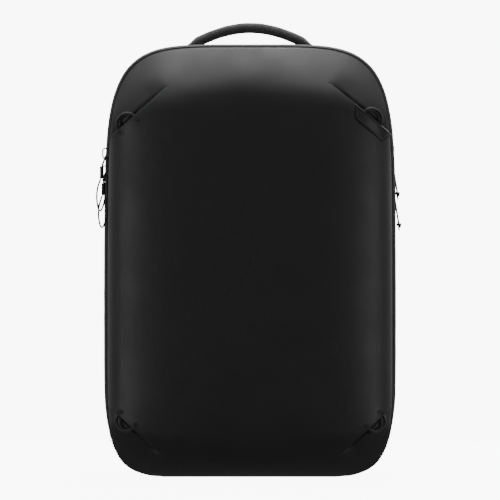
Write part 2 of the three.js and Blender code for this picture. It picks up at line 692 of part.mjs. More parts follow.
for (const [side, sign] of [["left", -1], ["right", 1]]) {
  const mirrored = (points) => points.map(([x, y, z]) => [sign * x, y, z]);

  // Sewn tabs hold the strap's two ends to the panel.
  const topTab = box(-24, 24, PANEL_BACK_Y + 0.3, PANEL_BACK_Y + 2.8, 428, 452).translate(sign * 52, 0, 0);
  add(`strap_tab_top_${side}`, topTab, webbing, panelGroup);
  const baseTab = box(-13, 13, PANEL_BACK_Y + 0.3, PANEL_BACK_Y + 2.3, 28, 50).translate(sign * 128, 0, 0);
  add(`strap_tab_base_${side}`, baseTab, webbing, panelGroup);

  const strapGroup = new THREE.Group();
  pack.add(strapGroup);
  const padRoute = [
    [52, STRAP_ROOT_Y + 1, 443],
    [53, STRAP_ROOT_Y + 17, 446],
    [56, STRAP_ROOT_Y + 32, 426],
    [61, STRAP_ROOT_Y + 38, 385],
    [72, STRAP_ROOT_Y + 39, 330],
    [88, STRAP_ROOT_Y + 37, 275],
    [101, STRAP_ROOT_Y + 32, 225],
    [107.3, STRAP_ROOT_Y + 26.4, 190.5],
  ];
  const pad = ribbon(mirrored(padRoute), [22, 44, 58, 62, 64, 64, 58, 44], [6, 10, 11, 11, 11, 11, 10, 8], 18, 0.7);
  add(`shoulder_strap_${side}`, pad, padMesh, strapGroup);

  // A ladder lock at the strap's foot takes the adjusting webbing.
  const lockAt = [sign * 109.5, STRAP_ROOT_Y + 22.5, 172];
  const lock = roundedRectangle(34, 24, 3);
  lock.holes.push(slotHole(0, 6), slotHole(0, -5));
  const lockGeometry = new THREE.ExtrudeGeometry(lock, { depth: 4.4, bevelEnabled: false, curveSegments: 2 })
    .rotateX(Math.PI / 2)
    .translate(0, 2.2, 0)
    .rotateX(-0.16)
    .translate(...lockAt);
  add(`ladder_lock_${side}`, lockGeometry, nylon, strapGroup);

  const webRoute = [
    [110.5, STRAP_ROOT_Y + 20, 157.5],
    [114, STRAP_ROOT_Y + 17, 130],
    [120, STRAP_ROOT_Y + 11, 90],
    [126, STRAP_ROOT_Y + 4, 62],
    [128, STRAP_ROOT_Y - 3.4, 46],
  ];
  // A half of the sternum strap hangs open from a clip that slides on the shoulder strap.
  const clipAt = [sign * 63, STRAP_ROOT_Y + 39 + 5.5 + JOINT + 2, 336];
  const clip = new RoundedBoxGeometry(30, 4, 12, 1, 1).translate(...clipAt);
  const clipGroup = new THREE.Group();
  strapGroup.add(clipGroup);
  add(`sternum_clip_${side}`, clip, nylon, clipGroup);
  const sternumGroup = new THREE.Group();
  sternumGroup.position.set(clipAt[0], clipAt[1] + 2 + JOINT + WEBBING / 2, clipAt[2]);
  clipGroup.add(sternumGroup);
  const drop = side === "left" ? 92 : 62;
  const sternumWeb = new RoundedBoxGeometry(19, WEBBING, drop, 1, 0.5).translate(0, 0, 8 - drop / 2);
  add(`sternum_webbing_${side}`, sternumWeb, webbing, sternumGroup);
  add(`sternum_buckle_${side}`, buckle(side).translate(0, 0, 8 - drop - JOINT), nylon, sternumGroup);

  add(`lower_webbing_${side}`, ribbon(mirrored(webRoute), [25, 25], [WEBBING, WEBBING], 8), webbing, strapGroup);
}

export default pack;
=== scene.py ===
"""A travel backpack: coated fabric lid and gusset, cord lash loops, zips with cord pulls, padded harness."""
import math

import bmesh
import bpy
import numpy as np
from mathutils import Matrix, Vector, noise


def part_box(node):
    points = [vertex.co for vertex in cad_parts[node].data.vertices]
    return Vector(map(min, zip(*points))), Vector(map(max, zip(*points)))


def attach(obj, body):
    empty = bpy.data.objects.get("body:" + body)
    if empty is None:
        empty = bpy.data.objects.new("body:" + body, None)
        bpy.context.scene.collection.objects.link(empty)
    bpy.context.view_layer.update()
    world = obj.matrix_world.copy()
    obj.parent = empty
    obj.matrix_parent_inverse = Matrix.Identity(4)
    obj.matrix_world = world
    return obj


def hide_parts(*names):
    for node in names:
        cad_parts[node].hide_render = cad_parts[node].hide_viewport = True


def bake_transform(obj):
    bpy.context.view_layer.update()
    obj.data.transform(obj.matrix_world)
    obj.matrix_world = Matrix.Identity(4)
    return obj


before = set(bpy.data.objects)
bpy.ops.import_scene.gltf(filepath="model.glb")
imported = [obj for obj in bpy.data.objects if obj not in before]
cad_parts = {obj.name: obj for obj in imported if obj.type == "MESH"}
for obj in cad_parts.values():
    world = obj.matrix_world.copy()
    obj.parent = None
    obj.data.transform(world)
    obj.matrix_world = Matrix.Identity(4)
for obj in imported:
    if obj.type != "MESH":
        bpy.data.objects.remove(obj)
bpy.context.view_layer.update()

MM = 0.001
GUSSET_LOW, GUSSET_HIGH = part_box("main_gusset")
LID_EDGE_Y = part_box("front_shell")[1][1]
PANEL_LOW, PANEL_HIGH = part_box("harness_panel")

# ---- The pack's outline, the same curve that its CAD solids follow ------------------------------

WIDTH = 326 * MM
HEIGHT = 488 * MM
MID_Z = HEIGHT / 2
TOP_POWER, BASE_POWER = 5.1, 7.3
BASE_CROWN = 0.8 * MM
TAPER, TAPER_FROM_Z = 0.015, 200 * MM
LID_INSET = 2 * MM
LID_DEPTH = 70 * MM
GUSSET_FRONT_Y, GUSSET_REAR_Y = GUSSET_LOW[1], GUSSET_HIGH[1]
REAR_INSET = 1 * MM
FRONT_ZIP_Y = (LID_EDGE_Y + GUSSET_FRONT_Y) / 2
REAR_ZIP_Y = (GUSSET_REAR_Y + PANEL_LOW[1]) / 2


def narrowing(z):
    return 1 - TAPER * np.clip((z - TAPER_FROM_Z) / (HEIGHT - TAPER_FROM_Z), 0, 1) ** 1.5


def outline(count, inset=0.0, base_inset=None):
    """The outline as count points [x, z], evenly spaced from the middle of the right side, anticlockwise."""
    base_inset = inset if base_inset is None else base_inset
    turn = np.linspace(0, 2 * math.pi, 20001)
    c, s = np.cos(turn), np.sin(turn)
    power = np.where(s >= 0, TOP_POWER, BASE_POWER)
    half_height = np.where(s >= 0, MID_Z - inset, MID_Z + BASE_CROWN - base_inset)
    z = MID_Z + np.sign(s) * half_height * np.abs(s) ** (2 / power)
    x = np.sign(c) * (WIDTH / 2 - inset) * np.abs(c) ** (2 / power) * narrowing(z)
    z = np.maximum(z, base_inset)
    along = np.concatenate([[0], np.cumsum(np.hypot(np.diff(x), np.diff(z)))])
    at = np.linspace(0, along[-1], count, endpoint=False)
    return np.stack([np.interp(at, along, x), np.interp(at, along, z)], axis=1)


def zip_path(inset, from_z=36 * MM, count=700):
    """The outline from low on the right, over the top, to low on the left: where a zip runs."""
    points = outline(4000, inset)
    above = points[:, 1] >= from_z
    start = int(np.argmax(above & ~np.roll(above, 1)))
    line = np.roll(points, -start, axis=0)[: int(above.sum())]
    along = np.concatenate([[0], np.cumsum(np.hypot(*np.diff(line, axis=0).T))])
    at = np.linspace(0, along[-1], count)
    return np.stack([np.interp(at, along, line[:, 0]), np.interp(at, along, line[:, 1])], axis=1)


# ---- The lid's surface --------------------------------------------------------------------------

SIDE_PILLOW, END_PILLOW = 3.0, 6
TOP_BEVEL = (26 * MM, 1.5, 44 * MM)     # height, slope, and how softly it turns into the front
BASE_BEVEL = (36 * MM, 1.9, 24 * MM)
FACET_SLOPE = 1
SLIT_BLEND, FACET_BLEND = 8 * MM, 62 * MM


class Slit:
    """A corner slit: its line runs from the pack's side to its inner end, and the facet lies beyond it."""

    def __init__(self, side, inner, height, up):
        self.side, self.inner = np.array(side) * MM, np.array(inner) * MM
        self.height, self.length = height * MM, np.linalg.norm(self.inner - self.side)
        self.along = (self.inner - self.side) / self.length
        across = np.array([-self.along[1], self.along[0]])
        self.outwards = across if across[1] * up > 0 else -across

    def place(self, x, z):
        """How far a point is along the slit's line, and how far beyond it."""
        dx, dz = x - self.side[0], z - self.side[1]
        return dx * self.along[0] + dz * self.along[1], dx * self.outwards[0] + dz * self.outwards[1]


SLITS = {
    "upper_left": Slit((-162, 379), (-92, 440), 57, 1),
    "upper_right": Slit((162, 385), (88, 444), 57, 1),
    "lower_left": Slit((-162, 86), (-95, 25), 55, -1),
    "lower_right": Slit((162, 84), (99, 27), 55, -1),
}


def smooth_step(value):
    value = np.clip(value, 0, 1)
    return value * value * (3 - 2 * value)


def soft_minimum(a, b, softness):
    share = np.maximum(softness - np.abs(a - b), 0) / softness
    return np.minimum(a, b) - share * share * softness / 4


def lid_reach(x, z, offset=0.0):
    """How far the lid stands forward of its edge, for a surface lying offset inside the outer one."""
    half_width = (WIDTH / 2 - LID_INSET - offset) * narrowing(z)
    u = np.minimum(1, np.abs(x) / half_width)
    w = np.minimum(1, np.abs(z - MID_Z) / (MID_Z - LID_INSET - offset))
    side = (1 - u ** SIDE_PILLOW) ** (1 / SIDE_PILLOW)
    end = (1 - w ** END_PILLOW) ** (1 / END_PILLOW)
    reach = (LID_DEPTH - offset) * side * end
    for (height, slope, blend), rise in ((TOP_BEVEL, HEIGHT - LID_INSET - z), (BASE_BEVEL, z)):
        reach = soft_minimum(reach, height + rise * slope - offset * math.sqrt(1 + slope * slope), blend)
    for slit in SLITS.values():
        along, beyond = slit.place(x, z)
        across_it = 1 - smooth_step((beyond - 2 * MM) / (54 * MM))
        within_it = 1 - smooth_step((along / slit.length - 0.6) / 1.1)
        blend = FACET_BLEND + (SLIT_BLEND - FACET_BLEND) * across_it * within_it
        plane = slit.height - beyond * FACET_SLOPE - offset * math.sqrt(1 + FACET_SLOPE ** 2)
        reach = soft_minimum(reach, plane, blend)
    return np.maximum(reach, 0)


# ---- Making pieces ------------------------------------------------------------------------------


def settle(obj, body, finish, replaces=(), smooth=True):
    """Gives a finished mesh its material, its body and the CAD nodes it stands for."""
    obj.data.materials.clear()
    obj.data.materials.append(finish)
    if obj.type == "MESH":
        obj.data.polygons.foreach_set("use_smooth", [smooth] * len(obj.data.polygons))
    if body:
        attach(obj, body)
    if replaces:
        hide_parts(*replaces)
    return obj


def object_of(name, bm_or_mesh):
    if isinstance(bm_or_mesh, bmesh.types.BMesh):
        mesh = bpy.data.meshes.new(name)
        bm_or_mesh.to_mesh(mesh)
        bm_or_mesh.free()
    else:
        mesh = bm_or_mesh
    obj = bpy.data.objects.new(name, mesh)
    bpy.context.scene.collection.objects.link(obj)
    return obj


def sheet_of_points(grid, wrap=False, loop=False, caps=True, lengths=None):
    """A bmesh through a grid of points [row, column]. wrap closes the columns round, loop closes the rows.

    Its UV map holds metres: u along the columns and v along the rows, measured on the piece or given as
    lengths.
    """
    grid = np.asarray(grid, dtype=float)
    rows, columns = grid.shape[:2]
    bm = bmesh.new()
    uv_layer = bm.loops.layers.uv.new("UVMap")
    verts = [[bm.verts.new(p) for p in row] for row in grid]
    row_steps = np.linalg.norm(np.diff(grid, axis=0, append=grid[:1]), axis=2).mean(axis=1)
    column_steps = np.linalg.norm(np.diff(grid, axis=1, append=grid[:, :1]), axis=2).mean(axis=0)
    v = np.concatenate([[0], np.cumsum(row_steps)])
    u = np.concatenate([[0], np.cumsum(column_steps)]) if lengths is None else lengths
    for i in range(rows if loop else rows - 1):
        for j in range(columns if wrap else columns - 1):
            i2, j2 = (i + 1) % rows, (j + 1) % columns
            face = bm.faces.new((verts[i][j], verts[i][j2], verts[i2][j2], verts[i2][j]))
            for corner, place in zip(face.loops, ((j, i), (j + 1, i), (j + 1, i + 1), (j, i + 1))):
                corner[uv_layer].uv = (u[place[0]], v[place[1]])
    if caps and wrap and not loop:
        for row in (verts[0], verts[-1]):
            middle = bm.verts.new(sum((p.co for p in row), Vector()) / columns)
            for j in range(columns):
                bm.faces.new((row[j], row[(j + 1) % columns], middle))
    if (wrap and caps) or (wrap and loop):
        bmesh.ops.recalc_face_normals(bm, faces=bm.faces)
    return bm


def facing(bm, axis, sign):
    """The bmesh with its faces turned to look mostly one way along an axis."""
    bmesh.ops.recalc_face_normals(bm, faces=bm.faces)
    if sign * sum(f.normal[axis] * f.calc_area() for f in bm.faces) < 0:
        bmesh.ops.reverse_faces(bm, faces=bm.faces)
    return bm


def frames_along(points, closed=False, up=None):
    """At each point of a path: its direction, and two directions across it that don't twist."""
    points = np.asarray(points, dtype=float)
    if closed:
        ahead = np.roll(points, -1, axis=0) - np.roll(points, 1, axis=0)
    else:
        ahead = np.gradient(points, axis=0)
    ahead /= np.linalg.norm(ahead, axis=1)[:, None]
    side = np.cross(ahead[0], up if up is not None else (0.31, 0.22, 0.93))
    sides = []
    for direction in ahead:
        if up is not None:
            side = np.cross(direction, up)
        side = side - direction * side.dot(direction)
        side /= np.linalg.norm(side)
        sides.append(side)
    sides = np.array(sides)
    return ahead, sides, np.cross(sides, ahead)


def swept(points, section, closed=False, up=None, scale=None):
    """A section of (across, out) points carried along a path; scale is one factor or pair for each point."""
    points = np.asarray(points, dtype=float)
    _, across, out = frames_along(points, closed, up)
    scale = np.ones((len(points), 2)) if scale is None else np.broadcast_to(
        np.reshape(scale, (len(points), -1)), (len(points), 2))
    section = np.asarray(section, dtype=float)
    grid = (points[:, None] + across[:, None] * (section[None, :, :1] * scale[:, None, :1])
            + out[:, None] * (section[None, :, 1:] * scale[:, None, 1:]))
    return sheet_of_points(grid, wrap=True, loop=closed)


def circle(radius, sides=12):
    turn = np.linspace(0, 2 * math.pi, sides, endpoint=False)
    return np.stack([radius * np.cos(turn), radius * np.sin(turn)], axis=1)


def rounded_rectangle(width, height, radius, steps=4):
    """Corner points of a rectangle with round corners, anticlockwise."""
    points = []
    for k, (sx, sy) in enumerate(((1, 1), (-1, 1), (-1, -1), (1, -1))):
        for step in range(steps + 1):
            turn = (k + step / steps) * math.pi / 2
            points.append((sx * (width / 2 - radius) + radius * math.cos(turn),
                           sy * (height / 2 - radius) + radius * math.sin(turn)))
    return np.array(points)


def smooth_path(points, count, closed=False):
    """A Catmull-Rom curve through points, the centripetal kind, at count even steps."""
    points = np.asarray(points, dtype=float)
    if closed:
        points = np.concatenate([points[-1:], points, points[:2]])
    else:
        points = np.concatenate([[2 * points[0] - points[1]], points, [2 * points[-1] - points[-2]]])
    line = []
    for p0, p1, p2, p3 in zip(points, points[1:], points[2:], points[3:]):
        gaps = [max(np.linalg.norm(b - a), 1e-9) ** 0.5 for a, b in ((p0, p1), (p1, p2), (p2, p3))]
        t0, t1 = 0, gaps[0]
        t2, t3 = t1 + gaps[1], t1 + gaps[1] + gaps[2]
        for t in np.linspace(t1, t2, 24, endpoint=False):
            a1 = ((t1 - t) * p0 + (t - t0) * p1) / (t1 - t0)
            a2 = ((t2 - t) * p1 + (t - t1) * p2) / (t2 - t1)
            a3 = ((t3 - t) * p2 + (t - t2) * p3) / (t3 - t2)
            b1 = ((t2 - t) * a1 + (t - t0) * a2) / (t2 - t0)
            b2 = ((t3 - t) * a2 + (t - t1) * a3) / (t3 - t1)
            line.append(((t2 - t) * b1 + (t - t1) * b2) / (t2 - t1))
    line.append(points[1] if closed else points[-2])
    line = np.array(line)
    along = np.concatenate([[0], np.cumsum(np.linalg.norm(np.diff(line, axis=0), axis=1))])
    at = np.linspace(0, along[-1], count, endpoint=not closed)
    return np.stack([np.interp(at, along, line[:, k]) for k in range(3)], axis=1)


def block(size, radius, segments=3):
    """A box with round edges, about the origin."""
    bm = bmesh.new()
    bmesh.ops.create_cube(bm, size=1)
    bmesh.ops.scale(bm, vec=size, verts=bm.verts)
    bmesh.ops.bevel(bm, geom=bm.edges[:], offset=radius, segments=segments, affect="EDGES", profile=0.5)
    return bm


def moved(bm, offset=(0, 0, 0), turn=None):
    """The bmesh moved, after it is turned by a matrix."""
    if turn is not None:
        bmesh.ops.transform(bm, matrix=turn.to_4x4(), verts=bm.verts)
    bmesh.ops.translate(bm, vec=offset, verts=bm.verts)
    return bm


def together(*parts):
    """Several bmeshes as one."""
    whole = bmesh.new()
    for part in parts:
        mesh = bpy.data.meshes.new("part")
        part.to_mesh(mesh)
        part.free()
        whole.from_mesh(mesh)
        bpy.data.meshes.remove(mesh)
    return whole


# ---- What repeats along a path: Geometry Nodes --------------------------------------------------


def repeat_tree():
    """A node tree that puts a template at even steps along every edge path of a mesh."""
    tree = bpy.data.node_groups.new("repeat_along_path", "GeometryNodeTree")
    face = tree.interface
    face.new_socket("Geometry", in_out="INPUT", socket_type="NodeSocketGeometry")
    face.new_socket("Template", in_out="INPUT", socket_type="NodeSocketObject")
    face.new_socket("Spacing", in_out="INPUT", socket_type="NodeSocketFloat")
    face.new_socket("Across", in_out="INPUT", socket_type="NodeSocketVector")
    face.new_socket("Finish", in_out="INPUT", socket_type="NodeSocketMaterial")
    face.new_socket("Geometry", in_out="OUTPUT", socket_type="NodeSocketGeometry")
    inputs = tree.nodes.new("NodeGroupInput").outputs
    curve = add_node(tree, "GeometryNodeMeshToCurve", {"Mesh": inputs["Geometry"]})
    even = add_node(tree, "GeometryNodeResampleCurve",
                    {"Curve": curve.outputs[0], "Length": inputs["Spacing"]},
                    mode="LENGTH")
    tangent = add_node(tree, "GeometryNodeInputTangent")
    along = add_node(tree, "FunctionNodeAlignRotationToVector", {"Vector": tangent.outputs[0]}, axis="X")
    flat = add_node(tree, "FunctionNodeAlignRotationToVector",
                    {"Rotation": along.outputs[0], "Vector": inputs["Across"]}, axis="Y", pivot_axis="X")
    template = add_node(tree, "GeometryNodeObjectInfo", {"Object": inputs["Template"]})
    copies = add_node(tree, "GeometryNodeInstanceOnPoints", {
        "Points": even.outputs[0], "Instance": template.outputs["Geometry"], "Rotation": flat.outputs[0]})
    real = add_node(tree, "GeometryNodeRealizeInstances", {"Geometry": copies.outputs[0]})
    done = add_node(tree, "GeometryNodeSetMaterial",
                    {"Geometry": real.outputs[0], "Material": inputs["Finish"]})
    add_node(tree, "NodeGroupOutput", {"Geometry": done.outputs[0]})
    return tree


def add_node(tree, kind, inputs=None, **settings):
    """A node with its settings made and its inputs linked or set."""
    made = tree.nodes.new(kind)
    for key, value in settings.items():
        setattr(made, key, value)
    for key, value in (inputs or {}).items():
        if isinstance(value, bpy.types.NodeSocket):
            tree.links.new(value, made.inputs[key])
        else:
            made.inputs[key].default_value = value
    return made


REPEAT = repeat_tree()


def repeated(name, lines, template, spacing, finish, across=(0, 1, 0)):
    """Copies of a template bmesh along lines of points, as one plain mesh object."""
    carrier = bpy.data.meshes.new("carrier")
    points, edges = [], []
    for line in lines:
        start = len(points)
        points.extend(tuple(p) for p in line)
        edges.extend((start + i, start + i + 1) for i in range(len(line) - 1))
    carrier.from_pydata(points, edges, [])
    path = object_of("path", carrier)
    pattern = object_of("template", template)
    modifier = path.modifiers.new("repeat", "NODES")
    modifier.node_group = REPEAT
    values = {"Template": pattern, "Spacing": spacing, "Across": across, "Finish": finish}
    for item in REPEAT.interface.items_tree:
        if item.in_out == "INPUT" and item.name in values:
            modifier[item.identifier] = values[item.name]
    bpy.context.view_layer.update()
    evaluated = path.evaluated_get(bpy.context.evaluated_depsgraph_get())
    made = object_of(name, bpy.data.meshes.new_from_object(evaluated))
    made.data.name = name
    for scrap in (path, pattern):
        data = scrap.data
        bpy.data.objects.remove(scrap)
        bpy.data.meshes.remove(data)
    return made


def stitches(name, lines, body, finish=None, spacing=3.4 * MM, long=2.5 * MM, thick=0.6 * MM):
    """A row of stitches along each line."""
    thread = bmesh.new()
    bmesh.ops.create_uvsphere(thread, u_segments=6, v_segments=4, radius=0.5)
    bmesh.ops.scale(thread, vec=(long, thick, thick), verts=thread.verts)
    row = repeated(name, lines, thread, spacing, finish or THREAD)
    return settle(row, body, finish or THREAD)


# ---- Finishes -----------------------------------------------------------------------------------


def weave_tree():
    """A cloth's threads: products of sines across a surface, whichever way the surface faces."""
    tree = bpy.data.node_groups.new("weave", "ShaderNodeTree")
    tree.interface.new_socket("Threads", in_out="INPUT", socket_type="NodeSocketFloat")
    tree.interface.new_socket("Height", in_out="OUTPUT", socket_type="NodeSocketFloat")
    threads = tree.nodes.new("NodeGroupInput").outputs["Threads"]
    coords = add_node(tree, "ShaderNodeTexCoord")
    scaled = add_node(tree, "ShaderNodeVectorMath", {0: coords.outputs["Object"], "Scale": threads},
                      operation="SCALE")
    waves = add_node(tree, "ShaderNodeVectorMath", {0: scaled.outputs[0]}, operation="SINE")
    facing = add_node(tree, "ShaderNodeVectorMath", {0: coords.outputs["Normal"]}, operation="ABSOLUTE")
    wave = add_node(tree, "ShaderNodeSeparateXYZ", {0: waves.outputs[0]}).outputs
    pairs = [add_node(tree, "ShaderNodeMath", {0: wave[a], 1: wave[b]}, operation="MULTIPLY").outputs[0]
             for a, b in ((1, 2), (0, 2), (0, 1))]
    crossed = add_node(tree, "ShaderNodeCombineXYZ", {0: pairs[0], 1: pairs[1], 2: pairs[2]})
    height = add_node(tree, "ShaderNodeVectorMath", {0: crossed.outputs[0], 1: facing.outputs[0]},
                      operation="DOT_PRODUCT")
    add_node(tree, "NodeGroupOutput", {"Height": height.outputs["Value"]})
    return tree


WEAVE = weave_tree()


def finish_of(name, colour, roughness, metallic=0.0, sheen=0.0, thread=0.0, depth=0.0, mottle=0.15,
              patch=30.0, speckle=None, ribs=None, holes=None, spread=0.06, specular=0.5):
    """A procedural finish. thread and ribs are pitches in metres, patch is the mottling's scale per metre."""
    made = bpy.data.materials.new(name)
    made.use_nodes = True
    tree = made.node_tree
    shader = tree.nodes["Principled BSDF"]
    coords = add_node(tree, "ShaderNodeTexCoord").outputs
    blotch = add_node(tree, "ShaderNodeTexNoise", {"Vector": coords["Object"], "Scale": patch, "Detail": 4.0})
    low = [c * (1 - mottle) for c in colour] + [1]
    high = [c * (1 + mottle) for c in colour] + [1]
    tint = add_node(tree, "ShaderNodeMix", {0: blotch.outputs[0], 6: low, 7: high},
                    data_type="RGBA").outputs[2]
    shader.inputs["Metallic"].default_value = metallic
    shader.inputs["Specular IOR Level"].default_value = specular
    shader.inputs["Sheen Weight"].default_value = sheen
    shader.inputs["Sheen Roughness"].default_value = 0.45
    height = None
    if thread:
        height = add_node(tree, "ShaderNodeGroup", node_tree=WEAVE)
        height.inputs["Threads"].default_value = math.pi / thread
        height = height.outputs[0]
    if ribs:
        axis = add_node(tree, "ShaderNodeSeparateXYZ", {0: coords["UV"]}).outputs[ribs[0]]
        angle = add_node(tree, "ShaderNodeMath", {0: axis, 1: 2 * math.pi / ribs[1]}, operation="MULTIPLY")
        rib = add_node(tree, "ShaderNodeMath", {0: angle.outputs[0]}, operation="SINE").outputs[0]
        height = rib if height is None else add_node(
            tree, "ShaderNodeMath", {0: rib, 1: height}, operation="ADD").outputs[0]
    if holes:
        cells = add_node(tree, "ShaderNodeTexVoronoi", {"Vector": coords["Object"], "Scale": 1 / holes,
                                                       "Randomness": 0.12})
        height = add_node(tree, "ShaderNodeMapRange",
                          {0: cells.outputs["Distance"], 1: 0.18, 2: 0.42, 3: -1.0,
                                                       4: 1.0}).outputs[0]
        # Painted shade: the colour falls to near black where the cells sink into holes.
        hole_shade = add_node(tree, "ShaderNodeMapRange",
                          {0: height, 1: -1.0, 2: 1.0, 3: 0.25, 4: 1.0}).outputs[0]
        tint = add_node(tree, "ShaderNodeMix", {0: hole_shade, 6: (0.004, 0.004, 0.004, 1), 7: tint},
                        data_type="RGBA").outputs[2]
    if speckle:
        flecks = add_node(tree, "ShaderNodeTexNoise", {"Vector": coords["Object"], "Scale": speckle[0],
                                                      "Detail": 2.0})
        share = add_node(tree, "ShaderNodeMapRange", {0: flecks.outputs[0], 1: 0.55, 2: 0.66}).outputs[0]
        tint = add_node(tree, "ShaderNodeMix", {0: share, 6: tint, 7: (*speckle[1], 1)},
                        data_type="RGBA").outputs[2]
    if height is not None and depth:
        bump = add_node(tree, "ShaderNodeBump", {"Height": height, "Distance": depth})
        tree.links.new(bump.outputs[0], shader.inputs["Normal"])
    matte = add_node(tree, "ShaderNodeMapRange", {0: blotch.outputs[0], 1: 0.3, 2: 0.7, 3: roughness - spread,
                                                  4: roughness + spread})
    tree.links.new(tint, shader.inputs["Base Color"])
    tree.links.new(matte.outputs[0], shader.inputs["Roughness"])
    return made


FACE = finish_of("coated face fabric", (0.0155, 0.0160, 0.0158), 0.50, sheen=0.10, thread=0.55 * MM,
                 depth=0.03 * MM, mottle=0.14, patch=22)
LINING = finish_of("lining", (0.030, 0.031, 0.032), 0.62, sheen=0.15, thread=0.5 * MM, depth=0.04 * MM)
WOVEN = finish_of("woven fabric", (0.017, 0.017, 0.017), 0.62, sheen=0.25, thread=0.8 * MM, depth=0.12 * MM,
                  speckle=(650, (0.048, 0.049, 0.048)))
HANDLE_WEAVE = finish_of("handle weave", (0.055, 0.055, 0.054), 0.6, sheen=0.7, thread=1.1 * MM,
                         depth=0.16 * MM,
                         speckle=(700, (0.13, 0.132, 0.128)))
# Painted highlight: the rim is the same coated fabric as the face, given nearly three times its colour so
# that its band looks lit.
RIM_PAINTED_HIGHLIGHT = finish_of("rim fabric with painted highlight", (0.042, 0.043, 0.042), 0.5, sheen=0.3, thread=0.6 * MM, depth=0.04 * MM)
BINDING = finish_of("binding tape", (0.013, 0.013, 0.013), 0.62, sheen=0.2, thread=0.7 * MM, depth=0.08 * MM)
SPACER = finish_of("spacer mesh", (0.030, 0.031, 0.031), 0.72, sheen=0.3, holes=3.2 * MM, depth=0.7 * MM)
NET = finish_of("open mesh", (0.028, 0.028, 0.028), 0.65, sheen=0.2, holes=1.9 * MM, depth=0.4 * MM)
WEBBING = finish_of("webbing", (0.016, 0.016, 0.016), 0.52, sheen=0.25, ribs=(1, 1.3 * MM), depth=0.18 * MM,
                    thread=0.75 * MM)
CORD = finish_of("braided cord", (0.018, 0.018, 0.018), 0.50, sheen=0.25, ribs=(1, 1.1 * MM), thread=0.5 * MM,
                 depth=0.12 * MM)
COIL = finish_of("zip chain", (0.010, 0.010, 0.010), 0.36, spread=0.05, mottle=0.1)
TAPE = finish_of("zip tape", (0.013, 0.013, 0.013), 0.58, sheen=0.2, thread=0.6 * MM, depth=0.07 * MM)
METAL = finish_of("slider metal", (0.045, 0.045, 0.048), 0.33, metallic=0.9, mottle=0.25, patch=400,
                  spread=0.08)
NYLON = finish_of("moulded nylon", (0.012, 0.012, 0.012), 0.42, mottle=0.1, patch=90, spread=0.07)
RUBBER = finish_of("soft rubber", (0.017, 0.017, 0.017), 0.60, mottle=0.15, patch=120)
THREAD = finish_of("sewing thread", (0.022, 0.022, 0.022), 0.55, sheen=0.3, mottle=0.2, patch=500)
STIFF = finish_of("stiffener sheet", (0.09, 0.092, 0.095), 0.45, mottle=0.12, patch=18, spread=0.09)
PATCH = finish_of("label patch", (0.0125, 0.0125, 0.0130), 0.44, mottle=0.12, patch=60, specular=0.4)

# ---- Camera, light and floor --------------------------------------------------------------------

scene = bpy.context.scene
camera = bpy.data.objects.new("camera", bpy.data.cameras.new("camera"))
camera.location = (0, -5, 0.2574)
camera.rotation_euler = (math.pi / 2, 0, 0)
camera.data.lens = 36 * 4.98 / 0.567
scene.collection.objects.link(camera)
scene.camera = camera


def softbox(name, place, aim, size, watts):
    light = bpy.data.lights.new(name, "AREA")
    light.shape = "RECTANGLE"
    light.size, light.size_y = size
    light.energy = watts
    lamp = bpy.data.objects.new(name, light)
    lamp.location = place
    lamp.rotation_euler = (Vector(aim) - Vector(place)).to_track_quat("-Z", "Y").to_euler()
    scene.collection.objects.link(lamp)
    return lamp


softbox("top softbox", (0, 0.15, 1.75), (0, 0, 0.45), (1.5, 1.1), 20)
softbox("left panel", (-1.7, -0.75, 0.6), (0, 0, 0.26), (0.9, 1.4), 4.4)
softbox("right panel", (1.7, -0.75, 0.6), (0, 0, 0.26), (0.9, 1.4), 4.4)
softbox("left low panel", (-1.3, -0.7, 0.08), (0, 0, 0.1), (0.7, 0.35), 2.2)
softbox("right low panel", (1.3, -0.7, 0.08), (0, 0, 0.1), (0.7, 0.35), 2.2)
softbox("front fill", (-0.4, -3.6, 0.6), (0, 0, 0.22), (2.4, 1.6), 3.5)
softbox("rear panel light", (0.7, 2.6, 1.5), (0, 0, 0.3), (1.8, 1.4), 26)

world = bpy.data.worlds.new("studio")
world.use_nodes = True
scene.world = world
room = world.node_tree
room.nodes.clear()
ray = add_node(room, "ShaderNodeLightPath")
sky = add_node(room, "ShaderNodeTexCoord")
direction = add_node(room, "ShaderNodeSeparateXYZ", {0: sky.outputs["Generated"]}).outputs
upper = add_node(room, "ShaderNodeMapRange", {0: direction[2], 1: -0.1, 2: 0.9, 3: 0.06, 4: 0.30})
rear = add_node(room, "ShaderNodeMapRange", {0: direction[1], 1: 0.0, 2: 0.8, 3: 0.0, 4: 0.8},
                interpolation_type="SMOOTHSTEP")
above = add_node(room, "ShaderNodeMapRange", {0: direction[2], 1: -0.02, 2: 0.15})
backdrop = add_node(room, "ShaderNodeMath", {0: above.outputs[0], 1: rear.outputs[0]}, operation="MULTIPLY")
glow = add_node(room, "ShaderNodeMath", {0: upper.outputs[0], 1: backdrop.outputs[0]}, operation="ADD")
bounce = add_node(room, "ShaderNodeMapRange", {0: direction[2], 1: -0.05, 2: -0.7, 3: 0.0, 4: 0.11})
glow = add_node(room, "ShaderNodeMath", {0: glow.outputs[0], 1: bounce.outputs[0]}, operation="ADD")
dim = add_node(room, "ShaderNodeBackground", {"Color": (1, 1, 1, 1), "Strength": glow.outputs[0]})
white = add_node(room, "ShaderNodeBackground", {"Color": (1, 1, 1, 1), "Strength": 9.0})
both = add_node(room, "ShaderNodeMixShader", {0: ray.outputs["Is Camera Ray"], 1: dim.outputs[0],
                                             2: white.outputs[0]})
add_node(room, "ShaderNodeOutputWorld", {"Surface": both.outputs[0]})

